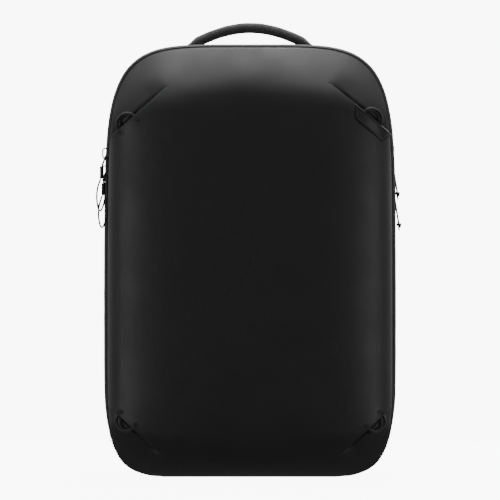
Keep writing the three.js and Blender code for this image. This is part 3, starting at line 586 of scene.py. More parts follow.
floor = object_of("floor", sheet_of_points([[(-1.5, -0.9, 0), (1.5, -0.9, 0)],
                                            [(-1.5, 0.9, 0), (1.5, 0.9, 0)]]))
pale = bpy.data.materials.new("pale floor")
pale.use_nodes = True
pale.node_tree.nodes["Principled BSDF"].inputs["Base Color"].default_value = (0.9, 0.9, 0.9, 1)
pale.node_tree.nodes["Principled BSDF"].inputs["Roughness"].default_value = 0.7
pale.node_tree.nodes["Principled BSDF"].inputs["Emission Color"].default_value = (1, 1, 1, 1)
pale.node_tree.nodes["Principled BSDF"].inputs["Emission Strength"].default_value = 8.5
floor.data.materials.append(pale)
floor.visible_diffuse = False
floor.visible_glossy = False

# ---- Cords: the zip pulls -----------------------------------------------------------------------

CORD_R = 1 * MM
PULLS = {   # where each pull's pin is, the way its side faces, and its foot: outwards, towards the rear, down
    "left_upper": ((-163.643, -25, 363.65), -1, (4.6, 8, -12)),
    "left_lower": ((-164.416, -25, 343.65), -1, (1.6, 0, -11)),
    "right_upper": ((162.3, 60, 369.65), 1, (2.2, 8, -12)),
    "right_lower": ((163.688, 60, 332.65), 1, (2.2, 0, -11)),
}
STRAND_Y, SLEEVE_LONG, LOOP_LONG, LOOP_WIDE = 2.7, 14, 36, 12.6


def pull_place(name, points):
    """Points given in millimetres outwards, forwards-to-rear and up from a pull's pin, put in the frame."""
    pin, side, _ = PULLS[name]
    return [[(pin[0] + side * p[0]) * MM, (pin[1] + side * p[1]) * MM, (pin[2] + p[2]) * MM] for p in points]


def pull_foot(name):
    _, side, (outwards, rearwards, down) = PULLS[name]
    return outwards, rearwards * side, down


def strands(name):
    """The cord's two strands from the pull's foot up to the slider's pin and back."""
    outwards, across, down = pull_foot(name)
    route = []
    for hand in (-1, 1):
        strand = [(outwards, across + hand * 1.2, down),
                  (0.45 * outwards, 0.25 * across + hand * STRAND_Y, -5.8),
                  (0.2 * outwards, hand * STRAND_Y, -2.6), (0, hand * STRAND_Y * 0.86, 0)]
        route += strand if hand < 0 else [(0, 0, 0.1)] + strand[::-1]
    return route


def teardrop(name, lean=0.05):
    """The cord's loop below a sleeve, from the sleeve's foot round and back to it."""
    outwards, across, down = pull_foot(name)
    route = []
    for i in range(27):
        share = i / 26
        turn = share * 2 * math.pi
        drop = LOOP_LONG * (1 - math.cos(turn)) / 2
        widest = math.sin(turn) * (1 - 0.42 * math.cos(turn - math.pi)) * 0.5
        x = -(LOOP_WIDE / 2) * widest * 1.25 * math.sqrt(drop / LOOP_LONG + 0.02) * 1.45
        route.append((outwards + x + lean * drop + 1.15 * (2 * share - 1), across,
                      down - SLEEVE_LONG + 0.3 - drop))
    return route


def cord_piece(name, path, body, replaced):
    """A braided cord along a path, as one curve of real thickness."""
    curve = bpy.data.curves.new(name, "CURVE")
    curve.dimensions = "3D"
    curve.bevel_depth = CORD_R
    curve.bevel_resolution = 4
    curve.use_fill_caps = True
    line = curve.splines.new("POLY")
    line.points.add(len(path) - 1)
    for point, place in zip(line.points, path):
        point.co = (*place, 1)
    piece = bpy.data.objects.new(name, curve)
    scene.collection.objects.link(piece)
    curve.materials.append(CORD)
    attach(piece, body)
    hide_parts(*replaced)
    return piece


def frayed_knot(name, foot, lean):
    """An overhand knot where the two strands meet, with their two cut ends frayed below it."""
    x, y, z = foot
    parts = []
    wraps = []
    for i in range(33):
        turn = i / 32 * 2 * math.pi
        wraps.append((x + 0.4 + 2.0 * math.cos(turn), y + 1.9 * math.sin(turn),
                      z - 1.9 + 0.75 * math.sin(2 * turn)))
    other = [(x + 0.5 + 1.5 * math.cos(-1.3 + i * 0.2), y + 1.6 * math.sin(-1.3 + i * 0.2),
              z - 4.9 + i * 0.15)
             for i in range(32)]
    parts.append(swept(pull_place(name, wraps[:-1]), circle(CORD_R * 1.02, 10), closed=True))
    parts.append(swept(pull_place(name, other), circle(CORD_R * 1.0, 10)))
    for hand in (-1, 1):
        tail = [(x + lean * k, y + hand * (0.7 + 0.25 * k), z - 3.4 - k) for k in (0, 1.5, 3, 4.4)]
        parts.append(swept(pull_place(name, tail), circle(CORD_R * 0.95, 10),
                           scale=[1, 1, 0.97, 0.9]))
        for k in range(7):
            turn = k * 0.9
            end = tail[-1]
            hair = [(end[0] + 0.5 * math.cos(turn) * s, end[1] + 0.5 * math.sin(turn) * s + hand * 0.1 * s,
                     end[2] - 0.6 * s * (1 + 0.25 * (k % 3))) for s in (0.2, 1.2, 2.0)]
            parts.append(swept(pull_place(name, hair), circle(0.13 * MM, 5), scale=[1, 1, 0.4]))
    return together(*parts)


for pull in PULLS:
    body = f"pull_{pull}"
    outwards, across, down = pull_foot(pull)
    if pull.startswith("left"):
        loop_path = smooth_path(pull_place(pull, teardrop(pull)), 90)
        loop = cord_piece(f"pull_loop_cord_{pull}", loop_path, body, [f"pull_loop_{pull}"])
        up = cord_piece(f"pull_strands_{pull}", smooth_path(pull_place(pull, strands(pull)), 44), body,
                        [])
    else:
        lean = 0.16
        foot = (outwards + lean * 33, across, down - 33)
        way = strands(pull)
        way = ([(foot[0], foot[1] - 1.2, foot[2])] + way + [(foot[0], foot[1] + 1.2, foot[2])])
        cord_path = smooth_path(pull_place(pull, way), 110)
        doubled = cord_piece(f"pull_doubled_cord_{pull}", cord_path[::-1], body,
                             [f"pull_cord_{pull}"])
        knot = settle(object_of(f"pull_frayed_knot_{pull}", frayed_knot(pull, foot, lean)), body, CORD,
                      [f"pull_knot_{pull}"])

# ---- The front lid ------------------------------------------------------------------------------


def lid_grid(offset, around, rings, edge_offset=None):
    """Rings of points over the lid, from its edge to its middle."""
    edge_offset = offset if edge_offset is None else edge_offset
    edge = outline(around, LID_INSET + edge_offset, 1 * MM + edge_offset)
    rows = []
    for t in np.linspace(0, 1, rings + 1):
        radius = max((1 - t ** 1.6) ** 0.75, 0.004)
        x, z = edge[:, 0] * radius, MID_Z + (edge[:, 1] - MID_Z) * radius
        reach = lid_reach(x, z, offset) if t > 0 else np.zeros(around)
        rows.append(np.stack([x, LID_EDGE_Y - reach, z], axis=1))
    return np.array(rows)


def ruffle(point, seed, scale, amount):
    """Soft unevenness of sewn cloth, the same each time."""
    return amount * noise.noise(Vector((point[0] * scale + seed, point[1] * scale, point[2] * scale)))


def lid_face():
    """The lid's outer fabric, cut along its corner slits, each facet tucked under the main panel's hem."""
    bm = sheet_of_points(lid_grid(0, 420, 100), wrap=True, caps=False)
    for slit in SLITS.values():
        normal = (slit.outwards[0], 0, slit.outwards[1])
        near = [f for f in bm.faces if touches(f, slit)]
        geometry = list({v for f in near for v in f.verts}) + list({e for f in near for e in f.edges}) + near
        cut = bmesh.ops.bisect_plane(bm, geom=geometry, dist=0.02 * MM, plane_no=normal,
                                     plane_co=(slit.inner[0], 0, slit.inner[1]))
        line = [e for e in cut["geom_cut"] if isinstance(e, bmesh.types.BMEdge) and on_slit(e, slit)]
        bmesh.ops.split_edges(bm, edges=line)
        shape_slit(bm, slit)
    for vert in bm.verts:
        share = smooth_step((LID_EDGE_Y - vert.co.y) / (14 * MM))
        vert.co.y -= share * (ruffle(vert.co, 3, 9, 0.9 * MM) + ruffle(vert.co, 8, 26, 0.28 * MM))
    return facing(bm, 1, -1)


def face_point(x, z, proud=0.0):
    """A point on the finished main panel, which has a hem and an unevenness that the plain lid has not."""
    y = LID_EDGE_Y - float(lid_reach(x, z))
    for slit in SLITS.values():
        along, beyond = slit.place(x, z)
        share = along / slit.length
        if -0.3 < share < 1.25 and -40 * MM < beyond <= 0.8 * MM:
            y -= HEM_RISE * slit_fade(share) * math.exp(-(min(beyond, 0) / HEM_REACH) ** 2)
    share = smooth_step((LID_EDGE_Y - y) / (14 * MM))
    y -= share * (ruffle((x, y, z), 3, 9, 0.9 * MM) + ruffle((x, y, z), 8, 26, 0.28 * MM))
    return Vector((x, y - proud, z))


def slit_fade(share):
    return (1 - smooth_step((share - 0.74) / 0.28)) * (0.45 + 0.55 * smooth_step(share / 0.2))


def slit_place(co, slit):
    along, beyond = slit.place(co.x, co.z)
    return along / slit.length, beyond


def touches(face, slit):
    share, beyond = slit_place(face.calc_center_median(), slit)
    return -0.2 < share < 1.06 and abs(beyond) < 9 * MM


def on_slit(edge, slit):
    places = [slit_place(v.co, slit) for v in edge.verts]
    return all(-0.3 < share < 1.001 and abs(beyond) < 0.05 * MM for share, beyond in places)


FACET_SINK = {"upper": 4.8 * MM, "lower": 5.4
              * MM}     # how deep the facet lies under the hem, and how far out
FACET_SINK_REACH = 17 * MM
GROOVE_DEPTH, GROOVE_REACH = 3.2 * MM, 2.6 * MM
HEM_RISE, HEM_REACH = 1.0 * MM, 9 * MM


def shape_slit(bm, slit):
    """Sinks the facet at the slit and rolls the main panel's edge over it."""
    hem, tuck = [], []
    for edge in bm.edges:
        if edge.is_boundary and on_slit(edge, slit):
            _, beyond = slit_place(edge.link_faces[0].calc_center_median(), slit)
            (tuck if beyond > 0 else hem).append(edge)
    lone = {v for e in tuck for v in e.verts}
    sink = FACET_SINK["upper" if slit.outwards[1] > 0 else "lower"]
    sunk = {}
    for vert in bm.verts:
        share, beyond = slit_place(vert.co, slit)
        if not -0.3 < share < 1.25:
            continue
        fade = slit_fade(share)
        if (beyond > 0.05 * MM or vert in lone) and beyond < 60 * MM:
            sunk[vert] = sink * fade * math.exp(-(beyond / FACET_SINK_REACH) ** 2)
            sunk[vert] += GROOVE_DEPTH * fade * math.exp(-(beyond / GROOVE_REACH) ** 2)
        elif beyond <= 0.05 * MM and beyond > -40 * MM:
            sunk[vert] = -HEM_RISE * fade * math.exp(-(beyond / HEM_REACH) ** 2)
    for vert, depth in sunk.items():
        vert.co.y = min(vert.co.y + depth, LID_EDGE_Y)
    outwards = Vector((slit.outwards[0], 0, slit.outwards[1]))
    drag(bm, hem, [outwards * 0.7 * MM + Vector((0, 0.35 * MM, 0)),
                   outwards * 0.25 * MM + Vector((0, 0.8 * MM, 0)),
                   outwards * -0.7 * MM + Vector((0, 0.5 * MM, 0)),
                   outwards * -7 * MM + Vector((0, 0.4 * MM, 0))])
    drag(bm, tuck, [outwards * -4 * MM + Vector((0, 0.8 * MM, 0)),
                    outwards * -6 * MM + Vector((0, 2.2 * MM, 0))])


def drag(bm, edges, steps):
    """Extends the cloth from an open edge, one strip for each step."""
    for step in steps:
        made = bmesh.ops.extrude_edge_only(bm, edges=edges)["geom"]
        bmesh.ops.translate(bm, vec=step, verts=[g for g in made if isinstance(g, bmesh.types.BMVert)])
        edges = [g for g in made if isinstance(g, bmesh.types.BMEdge)]


settle(object_of("lid_face_fabric", lid_face()), "front_lid", FACE, ["front_shell"])
lining = lid_grid(3 * MM, 240, 44)[:, ::-1]
for slit in SLITS.values():
    along, beyond = slit.place(lining[..., 0], lining[..., 2])
    inside = (along / slit.length > -0.3) & (along / slit.length < 1.25)
    under = 10.5 * MM * slit_fade(along / slit.length) * np.exp(-((beyond - 6 * MM) / (24 * MM)) ** 2)
    lining[..., 1] = np.minimum(lining[..., 1] + np.where(inside, under, 0), LID_EDGE_Y)
settle(object_of("lid_lining", sheet_of_points(lining, wrap=True, caps=False)), "front_lid", LINING)

# ---- Zips, gusset, rim and hinges ---------------------------------------------------------------

ZIP_INSET, REAR_ZIP_INSET = 3.6 * MM, 4.6 * MM


def band(profile, count=620, from_z=36 * MM, whole=False):
    """Cloth or tape round the pack. profile is a list of (inset, y); whole goes under the base too."""
    lines = [outline(count, inset, max(inset, 0.0)) if whole else zip_path(inset, from_z, count)
             for inset, _ in profile]
    grid = [[(p[0], y, p[1]) for p in line] for line, (_, y) in zip(lines, profile)]
    return sheet_of_points(grid, wrap=whole, caps=False)


def zip_line(inset, y, count=900, from_z=36 * MM):
    return [(x, y, z) for x, z in zip_path(inset, from_z, count)]


def tooth():
    """One turn of a zip's nylon coil, leaning a little along the chain."""
    bm = bmesh.new()
    bmesh.ops.create_cube(bm, size=1)
    bmesh.ops.scale(bm, vec=(1.25 * MM, 2.9 * MM, 1.5 * MM), verts=bm.verts)
    bmesh.ops.bevel(bm, geom=bm.edges[:], offset=0.45 * MM, segments=1, affect="EDGES")
    for vert in bm.verts:
        vert.co.x += 0.22 * vert.co.y
        vert.co.z -= 60 * vert.co.y ** 2
    return bm


def zip_half(name, y, inset, body, node, hand):
    """The coil of one half of a zip, and its tape back to the cloth's edge."""
    start = 36 * MM + (0.55 * MM if hand > 0 else 0)
    coil = repeated(f"{name}_coil", [zip_line(inset, y, from_z=start)], tooth(), 2.15 * MM, COIL)
    settle(coil, body, COIL, [node])
    edge = y + hand * 5.2 * MM
    cloth = [(inset - 1.2 * MM, edge), (inset - 0.2 * MM, y + hand * 3.4 * MM),
             (inset + 0.2 * MM, y + hand * 1.5 * MM),
             (inset + 0.3 * MM, y - hand * 0.5 * MM), (inset + 0.9 * MM, y - hand * 0.5 * MM),
             (inset + 0.9 * MM, y + hand * 2 * MM), (inset + 0.7 * MM, edge)]
    tape = object_of(f"{name}_tape", band(cloth, 420))
    settle(tape, body, TAPE)
    seam = zip_line(inset - 0.35 * MM, y + hand * 3.2 * MM)
    stitches(f"{name}_stitching", [seam], body, spacing=3.2 * MM)


zip_half("front_zip_lid", FRONT_ZIP_Y - 1.05 * MM, ZIP_INSET, "front_lid", "front_zip_lid_teeth", -1)
zip_half("front_zip_gusset", FRONT_ZIP_Y + 1.05 * MM, ZIP_INSET, "pack_body", "front_zip_gusset_teeth", 1)
zip_half("rear_zip_gusset", REAR_ZIP_Y - 1.05 * MM, REAR_ZIP_INSET, "pack_body", "rear_zip_gusset_teeth", -1)
zip_half("rear_zip_panel", REAR_ZIP_Y + 1.05 * MM, REAR_ZIP_INSET, "rear_panel", "rear_zip_panel_teeth", 1)


def rain_flap(name, route):
    """A double strip of lining sewn inside the gusset, which covers a zip from within."""
    profile = [(inset * MM, y * MM) for inset, y in route] + [((inset + 0.6) * MM, y * MM)
                                                              for inset, y in route[::-1]]
    flap = band(profile, 420, whole=True)
    bmesh.ops.recalc_face_normals(flap, faces=flap.faces)
    settle(object_of(name, flap), "pack_body", LINING)


rain_flap("front_zip_rain_flap", [(4.9, -19.4), (5.4, -22), (6.1, -28), (6.9, -35)])
rain_flap("rear_zip_rain_flap", [(5.2, 54.6), (5.9, 57), (6.4, 60), (6.6, 63.8)])


def gusset_profile():
    """The gusset's section from its front edge to its rear one: inset and y."""
    profile = [(3.0 * MM, GUSSET_FRONT_Y + 0.4 * MM), (1.4 * MM, GUSSET_FRONT_Y),
               (0.5 * MM, GUSSET_FRONT_Y + 0.3 * MM),
               (0.1 * MM, GUSSET_FRONT_Y + 1.2 * MM)]
    for y in np.linspace(GUSSET_FRONT_Y + 3 * MM, GUSSET_REAR_Y - 3 * MM, 26):
        share = (y - GUSSET_FRONT_Y) / (GUSSET_REAR_Y - GUSSET_FRONT_Y)
        profile.append((REAR_INSET * share, y))
    profile += [(REAR_INSET + 0.1 * MM, GUSSET_REAR_Y - 1.2 * MM),
                (REAR_INSET + 0.5 * MM, GUSSET_REAR_Y - 0.3 * MM),
                (REAR_INSET + 1.4 * MM, GUSSET_REAR_Y), (REAR_INSET + 3.0 * MM, GUSSET_REAR_Y - 0.4 * MM)]
    return profile


def gusset_face():
    bm = band(gusset_profile(), 560, whole=True)
    for vert in bm.verts:
        x, y, z = vert.co
        middle = smooth_step((y - GUSSET_FRONT_Y) / (12 * MM)) * smooth_step((GUSSET_REAR_Y - y) / (12 * MM))
        high = smooth_step((z - 8 * MM) / (30 * MM))
        inwards = Vector((-math.copysign(1, x) * min(1, abs(x) / 0.13), 0, -(1 if z > MID_Z else 0)
                          * smooth_step((z - 0.44) / 0.04)))
        seam = math.exp(-((z - 64 * MM) / (1.1 * MM)) ** 2) * (1 if abs(x) > 0.15 else 0)
        uneven = 0.9 * MM + ruffle(vert.co, 5, 12, 1.6 * MM) + ruffle(vert.co, 2, 34, 0.35 * MM)
        vert.co += inwards * (middle * high * uneven + seam * 0.8 * MM * middle)
    bmesh.ops.recalc_face_normals(bm, faces=bm.faces)
    side = sum((f.calc_center_median().x * f.normal.x) * f.calc_area() for f in bm.faces)
    if side < 0:
        bmesh.ops.reverse_faces(bm, faces=bm.faces)
    return bm


settle(object_of("gusset_face_fabric", gusset_face()), "pack_body", FACE, ["main_gusset"])
inner_profile = [(2.9 * MM, GUSSET_FRONT_Y + 0.5 * MM), (3.4 * MM, GUSSET_FRONT_Y + 1.5 * MM)]
inner_profile += [(3.5 * MM + REAR_INSET * k / 6, GUSSET_FRONT_Y + (4 + k * 11) * MM) for k in range(7)]
inner_profile += [(4.4 * MM, GUSSET_REAR_Y - 1.5 * MM), (3.9 * MM, GUSSET_REAR_Y - 0.5 * MM)]
inside = band(inner_profile, 300, whole=True)
bmesh.ops.reverse_faces(inside, faces=inside.faces)
settle(object_of("gusset_lining", inside), "pack_body", LINING)


def seam_round(y, inset, z_low=14 * MM, count=900):
    """A stitch line round the gusset at one depth."""
    return [(x, y, z) for x, z in zip_path(inset, z_low, count)]


stitches("gusset_front_edge_stitching", [seam_round(GUSSET_FRONT_Y + 6.6 * MM, -0.15 * MM)], "pack_body")
stitches("gusset_rear_edge_stitching", [seam_round(GUSSET_REAR_Y - 3.2 * MM, 0.75 * MM)], "pack_body")
side_seams = []
for hand in (-1, 1):
    for z in (61.4 * MM, 66.6 * MM):
        side_seams.append([(hand * (WIDTH / 2 + 0.1 * MM - 1.0 * MM * k / 20),
                            GUSSET_FRONT_Y + (4 + k * 3.4) * MM, z)
                           for k in range(1, 21)])
stitches("gusset_base_seam_stitching", side_seams, "pack_body")


def rim():
    """The rim round the front of the gusset: a folded, filled binding whose long face slopes to the front."""
    line = zip_path(0, 32 * MM, 900)
    ahead = np.gradient(line, axis=0)
    ahead /= np.linalg.norm(ahead, axis=1)[:, None]
    outwards = np.stack([ahead[:, 1], -ahead[:, 0]], axis=1)
    section = [(-0.5, -20.1), (0.15, -20.3), (0.7, -19.9), (1.5, -18.9), (2.2, -17.9), (2.75, -16.9),
               (2.85, -16.2),
               (2.6, -15.6), (1.9, -15.1), (0.8, -14.8), (-0.5, -14.8)]
    rows = []
    for place, out in zip(line, outwards):
        fullness = 1 + 0.05 * noise.noise(Vector((place[0] * 60, 3, place[1] * 60)))
        fullness *= 0.12 + 0.88 * smooth_step((place[1] - 31 * MM) / (60 * MM))
        row = []
        for height, y in section:
            spot = place + out * height * fullness * MM
            row.append((spot[0], y * MM, spot[1]))
        rows.append(row)
    return sheet_of_points(rows, wrap=True)


# The rim binding's lighter finish is a painted highlight.
settle(object_of("rim_binding", rim()), "pack_body", RIM_PAINTED_HIGHLIGHT, ["rim_piping"])
stitches("rim_stitching", [[(x, -15.35 * MM, z) for x, z in zip_path(-0.9 * MM, 34 * MM, 900)]], "pack_body")

# The cloth strips along the base: their front and rear edges, and the two bodies that each one joins.
HINGES = (
    ("front", LID_EDGE_Y - 2 * MM, GUSSET_FRONT_Y + 2 * MM, ("front_lid", "pack_body")),
    ("rear", GUSSET_REAR_Y - 2 * MM, PANEL_LOW[1] + 2 * MM, ("pack_body", "rear_panel")),
)
for where, low_y, high_y, joined in HINGES:
    rows = []
    for share in np.linspace(0, 1, 17):
        dip = 1.6 * MM + 0.7 * MM * math.sin(share * math.pi)
        rows.append([(x, low_y + (high_y - low_y) * share,
                      dip + 0.35 * MM * math.cos(x * 110) * math.sin(share * math.pi))
                     for x in np.linspace(-98 * MM, 98 * MM, 90)])
    under = [[(p[0], p[1], p[2] - 1.0 * MM) for p in row] for row in rows[::-1]]
    hinge = object_of(f"{where}_hinge_cloth", sheet_of_points(rows + under, loop=True))
    settle(hinge, None, WOVEN, [f"{where}_hinge_fabric"])
    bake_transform(hinge)

# ---- Top handle ---------------------------------------------------------------------------------

HANDLE_Y, HANDLE_R, HANDLE_TOP = 26 * MM, 5.8 * MM, 511.6 * MM
HANDLE_END_X, HANDLE_END_Z = 72 * MM, 489.6 * MM


def handle_line(count=120, lift=0.0):
    share = np.linspace(-1, 1, count)
    z = HANDLE_TOP - (HANDLE_TOP - HANDLE_END_Z) * (1.18 * share ** 2 - 0.18 * share ** 4)
    return np.stack([share * HANDLE_END_X, np.full(count, HANDLE_Y), z + lift], axis=1)


def handle_sleeve():
    """The handle's woven sleeve round its foam core: full in the middle, flattened where it is sewn down."""
    line = handle_line(160)
    share = np.abs(np.linspace(-1, 1, 160))
    end = smooth_step((share - 0.8) / 0.2)
    thick = HANDLE_R * (1 - end) + 2.0 * MM * end
    wide = HANDLE_R * (1 - end) + 6.4 * MM * end
    creases = 1 + 0.012 * np.sin(np.linspace(0, 46, 160)) * (1 - end)
    bm = swept(line, circle(1.0, 26), up=(0, 1, 0), scale=np.stack([thick * creases, wide * creases], axis=1))
    return bm


settle(object_of("handle_woven_sleeve", handle_sleeve()), "handle", HANDLE_WEAVE,
       ["top_handle"])
under_seam = [handle_line(150, -HANDLE_R - 0.05 * MM)[16:-16]]
for row in under_seam:
    row[:, 1] += 1.3 * MM
stitches("handle_seam_stitching", under_seam, "handle")
fold = handle_line(150, -HANDLE_R + 0.25 * MM)[14:-14]
settle(object_of("handle_seam_fold", swept(fold, rounded_rectangle(0.9 * MM, 5.6 * MM, 0.4 * MM, 2),
                                           up=(0, 1, 0))),
       "handle", HANDLE_WEAVE)


for side, sign in (("left", -1), ("right", 1)):
    tab = moved(block((18 * MM, 16 * MM, 1.9 * MM), 0.7 * MM),
                (sign * 81.5 * MM, HANDLE_Y, 488.3 * MM))
    for vert in tab.verts:
        vert.co.z -= 0.06 * sign * (vert.co.x - sign * 81.5 * MM) + 0.2 * MM
    settle(object_of(f"handle_webbing_tab_{side}", tab), "pack_body", WEBBING,
           [f"handle_tab_{side}"])
    top_z = 489.15 * MM
    cross = []
    left, right = sign * 81.5 * MM - 7 * MM, sign * 81.5 * MM + 7 * MM
    for start, end in (((left, 20), (right, 20)), ((left, 32), (right, 32)), ((left, 20), (left, 32)),
                       ((right, 20), (right, 32)), ((left, 20), (right, 32)), ((left, 32), (right, 20))):
        cross.append([(start[0] + (end[0] - start[0]) * k / 12,
                       (start[1] + (end[1] - start[1]) * k / 12) * MM,
                       top_z - 0.06 * sign * (start[0] + (end[0] - start[0]) * k / 12 - sign * 81.5 * MM))
                      for k in range(13)])
    stitches(f"handle_tab_{side}_stitching", cross, "pack_body", spacing=2.6 * MM, long=2.1 * MM)

# ---- Lash loops and label -----------------------------------------------------------------------

LASH_R = 1.8 * MM
LOOP_SHARE, LOOP_HALF_SPAN, LOOP_REACH = 0.34, 11 * MM, 11 * MM


def on_line(slit, share):
    place = slit.side + slit.along * slit.length * share
    return Vector((place[0], LID_EDGE_Y - float(lid_reach(*place)), place[1]))


def loop_route(slit):
    """A lash loop: from under the hem, out over the facet and back under the hem."""
    lean = math.radians(30)
    outwards = Vector((slit.outwards[0] * math.cos(lean), math.sin(lean), slit.outwards[1] * math.cos(lean)))
    feet = [on_line(slit, LOOP_SHARE + end * LOOP_HALF_SPAN / slit.length) for end in (-1, 1)]
    half = [(1.02, -9 * MM, 3.6 * MM), (1.02, -4 * MM, 3.0 * MM), (1, 1 * MM, 1.2 * MM)]
    half += [(math.cos(math.radians(t)), 1 * MM + LOOP_REACH * math.sin(math.radians(t)),
              -1.2 * MM - 0.9 * MM *
              math.sin(math.radians(t))) for t in (20, 45, 70)]
    route = half + [(0, 1 * MM + LOOP_REACH, -2.1 * MM)] + [(-a, o, y) for a, o, y in half[::-1]]
    return [feet[0].lerp(feet[1], (1 + across) / 2) + outwards * out + Vector((0, inwards, 0))
            for across, out, inwards in route]


for corner, slit in SLITS.items():
    loop_line = smooth_path(loop_route(slit), 90)
    settle(object_of(f"lash_cord_{corner}", swept(loop_line, circle(LASH_R, 16))), "front_lid", CORD,
           [f"lash_loop_{corner}"])
    centre = on_line(slit, LOOP_SHARE)
    turn = Vector((1, 0, 0)).rotation_difference(Vector((slit.along[0], 0, slit.along[1]))).to_matrix()
    tab = moved(block((2 * LOOP_HALF_SPAN + 8 * MM, 1.8 * MM, 13 * MM), 0.6 * MM),
                centre + Vector((-slit.outwards[0] * 6 * MM, 5.2 * MM, -slit.outwards[1] * 6 * MM)), turn)
    settle(object_of(f"lash_webbing_tab_{corner}", tab), "front_lid", WEBBING,
           [f"lash_tab_{corner}"])
    hem_rows = []
    for gap in (2.2 * MM, 5.4 * MM):
        row = []
        for share in np.linspace(0.03, 0.97, 60):
            place = slit.side + slit.along * slit.length * share - slit.outwards * gap
            row.append(tuple(face_point(place[0], place[1], 0.12 * MM)))
        hem_rows.append(row)
    if corner == "upper_right":
        hem_rows = [[p for p in row if p[0] < 116 * MM] for row in hem_rows]
    stitches(f"slit_hem_stitching_{corner}", hem_rows[:1], "front_lid", long=2.3 * MM, thick=0.45 * MM)
    ends = []
    for end in (-1, 1):
        place = slit.side + slit.along * (slit.length * LOOP_SHARE
                                          + end * LOOP_HALF_SPAN) - slit.outwards * 4.4 * MM
        for k in range(7):
            spot = place + slit.along * (k - 3) * 0.62 * MM
            ends.append([tuple(face_point(*(spot + slit.outwards * s * MM), 0.15 * MM)) for s in (-2, 0, 2)])
    if corner != "upper_right":
        stitches(f"lash_bartacks_{corner}", ends, "front_lid", spacing=2.0 * MM, long=2.2 * MM,
                 thick=0.5 * MM)


def label_patch():
    """A blank patch folded over the upper right hem, with a raised line round its field."""
    slit = SLITS["upper_right"]
    rows = []
    for v in np.linspace(0, 1, 40):
        row = []
        for u in np.linspace(0, 1, 110):
            depth = (-0.75 + 14.0 * v) * MM
            left, right = 57 * MM - 10.5 * MM * v, (3.4 + 2.8 * v) * MM
            corner = 5.5 * MM * max(0, (v - 0.72) / 0.28) ** 2.2
            a = (left - corner) * (1 - u) + (right + corner * 0.3) * u
            place = slit.side + slit.along * a - slit.outwards * depth
            edge = min((1 - v) * 14 * MM, (a - right) if u > 0.5 else (left - corner - a), 14 * MM)
            upper = (0.75 + 14.0 * v) * MM
            near = min(edge, upper)
            proud = 1.15 * MM * smooth_step(edge / (0.9 * MM)) + 0.15 * MM
            line = math.exp(-((near - 2.0 * MM) / (0.42 * MM)) ** 2) * 0.4 * MM
            field = -0.35 * MM * smooth_step((near - 2.6 * MM) / (0.7 * MM))
            point = face_point(place[0], place[1], proud + line + field)
            if depth < 0:
                point.y += 1.0 * MM * (-depth / (0.75 * MM)) ** 2
            row.append(point)
        rows.append(row)
    first = rows[0]
    rows.insert(0, [p + Vector((-slit.outwards[0] * 0.3 * MM, 1.6 * MM, -slit.outwards[1] * 0.3 * MM))
                    for p in first])
    bm = sheet_of_points(rows, caps=False)
    return facing(bm, 1, -1)


settle(object_of("blank_label_patch", label_patch()), "front_lid", PATCH, ["label_patch"])

# ---- Zip sliders and their grips ----------------------------------------------------------------


def place_at_pull(bm, name):
    pin, side, _ = PULLS[name]
    for vert in bm.verts:
        x, y, z = vert.co
        vert.co = ((pin[0] + side * x) * MM, (pin[1] + side * y) * MM, (pin[2] + z) * MM)
    return bm


def plate_loops(x_low, x_high, half_top, half_foot, top, foot, edge=0.3):
    """A slider's plate: round shouldered at its top, narrower at its foot."""
    rows = []
    for x, inset in ((x_low, edge), (x_low + edge, 0), (x_high - edge, 0), (x_high, edge)):
        row = []
        for t in np.linspace(0, 2 * math.pi, 40, endpoint=False):
            c, s = math.cos(t), math.sin(t)
            share = (1 + math.copysign(abs(s) ** 0.45, s)) / 2
            half = half_foot + (half_top - half_foot) * share - inset
            z = foot + inset + (top - foot - 2 * inset) * share
            row.append((x, math.copysign(abs(c) ** 0.5, c) * half, z))
        rows.append(row)
    return sheet_of_points(rows, wrap=True)


def slider():
    """A coil slider in millimetres from its pin: two plates, flanges, post, tapered nose and closed bail."""
    lift = 3.35
    top = plate_loops(-3.9, -2.4, 3.8, 3.1, lift + 7.3, lift - 7.3)
    under = plate_loops(-6.3, -5.3, 3.6, 3.0, lift + 7.0, lift - 7.0)
    post = moved(block((2.2, 1.6, 3.4), 0.4), (-4.6, 0, lift + 4.6))
    crown = plate_loops(-2.5, -1.9, 2.6, 1.9, lift + 6.0, lift - 6.0, 0.28)
    lips = [moved(block((1.5, 0.8, 10.5), 0.25), (-4.1, hand * 3.35, lift - 0.6)) for hand in (-1, 1)]
    frame_line = rounded_rectangle(6.0, 11.2, 2.5, 6)
    path = [(0.2 + p[0], 0, lift + p[1]) for p in frame_line]
    bail = swept(path, [(0.8 * math.cos(t), 0.95 * math.sin(t))
                        for t in np.linspace(0, 2 * math.pi, 13)[:-1]],
                 closed=True, up=(0, 1, 0))
    feet = [moved(block((1.6, 2.9, 2.6), 0.5), (-2.1, 0, lift + hand * 4.9)) for hand in (-1, 1)]
    return together(top, under, post, crown, bail, *lips, *feet)


def grip(name):
    """A moulded sleeve over the two strands, ribbed for the fingers, with a rolled lip at each end."""
    outwards, across, down = pull_foot(name)
    rows = []
    section = rounded_rectangle(4.5, 5.1, 1.7, 5)
    for share in np.linspace(0, 1, 90):
        end = min(share, 1 - share)
        size = 0.80 + 0.20 * smooth_step(end / 0.05) ** 0.5
        rib = -0.055 * (0.5 + 0.5 * math.cos(share * 2 * math.pi * 9)) * smooth_step((end - 0.12) / 0.04)
        lip = 0.035 * math.exp(-((end - 0.05) / 0.03) ** 2)
        rows.append([(outwards + p[0] * (size + rib + lip), across + p[1] * (size + rib + lip),
                      down + 0.6 - 14 * share) for p in section])
    return place_at_pull(sheet_of_points(rows, wrap=True), name)


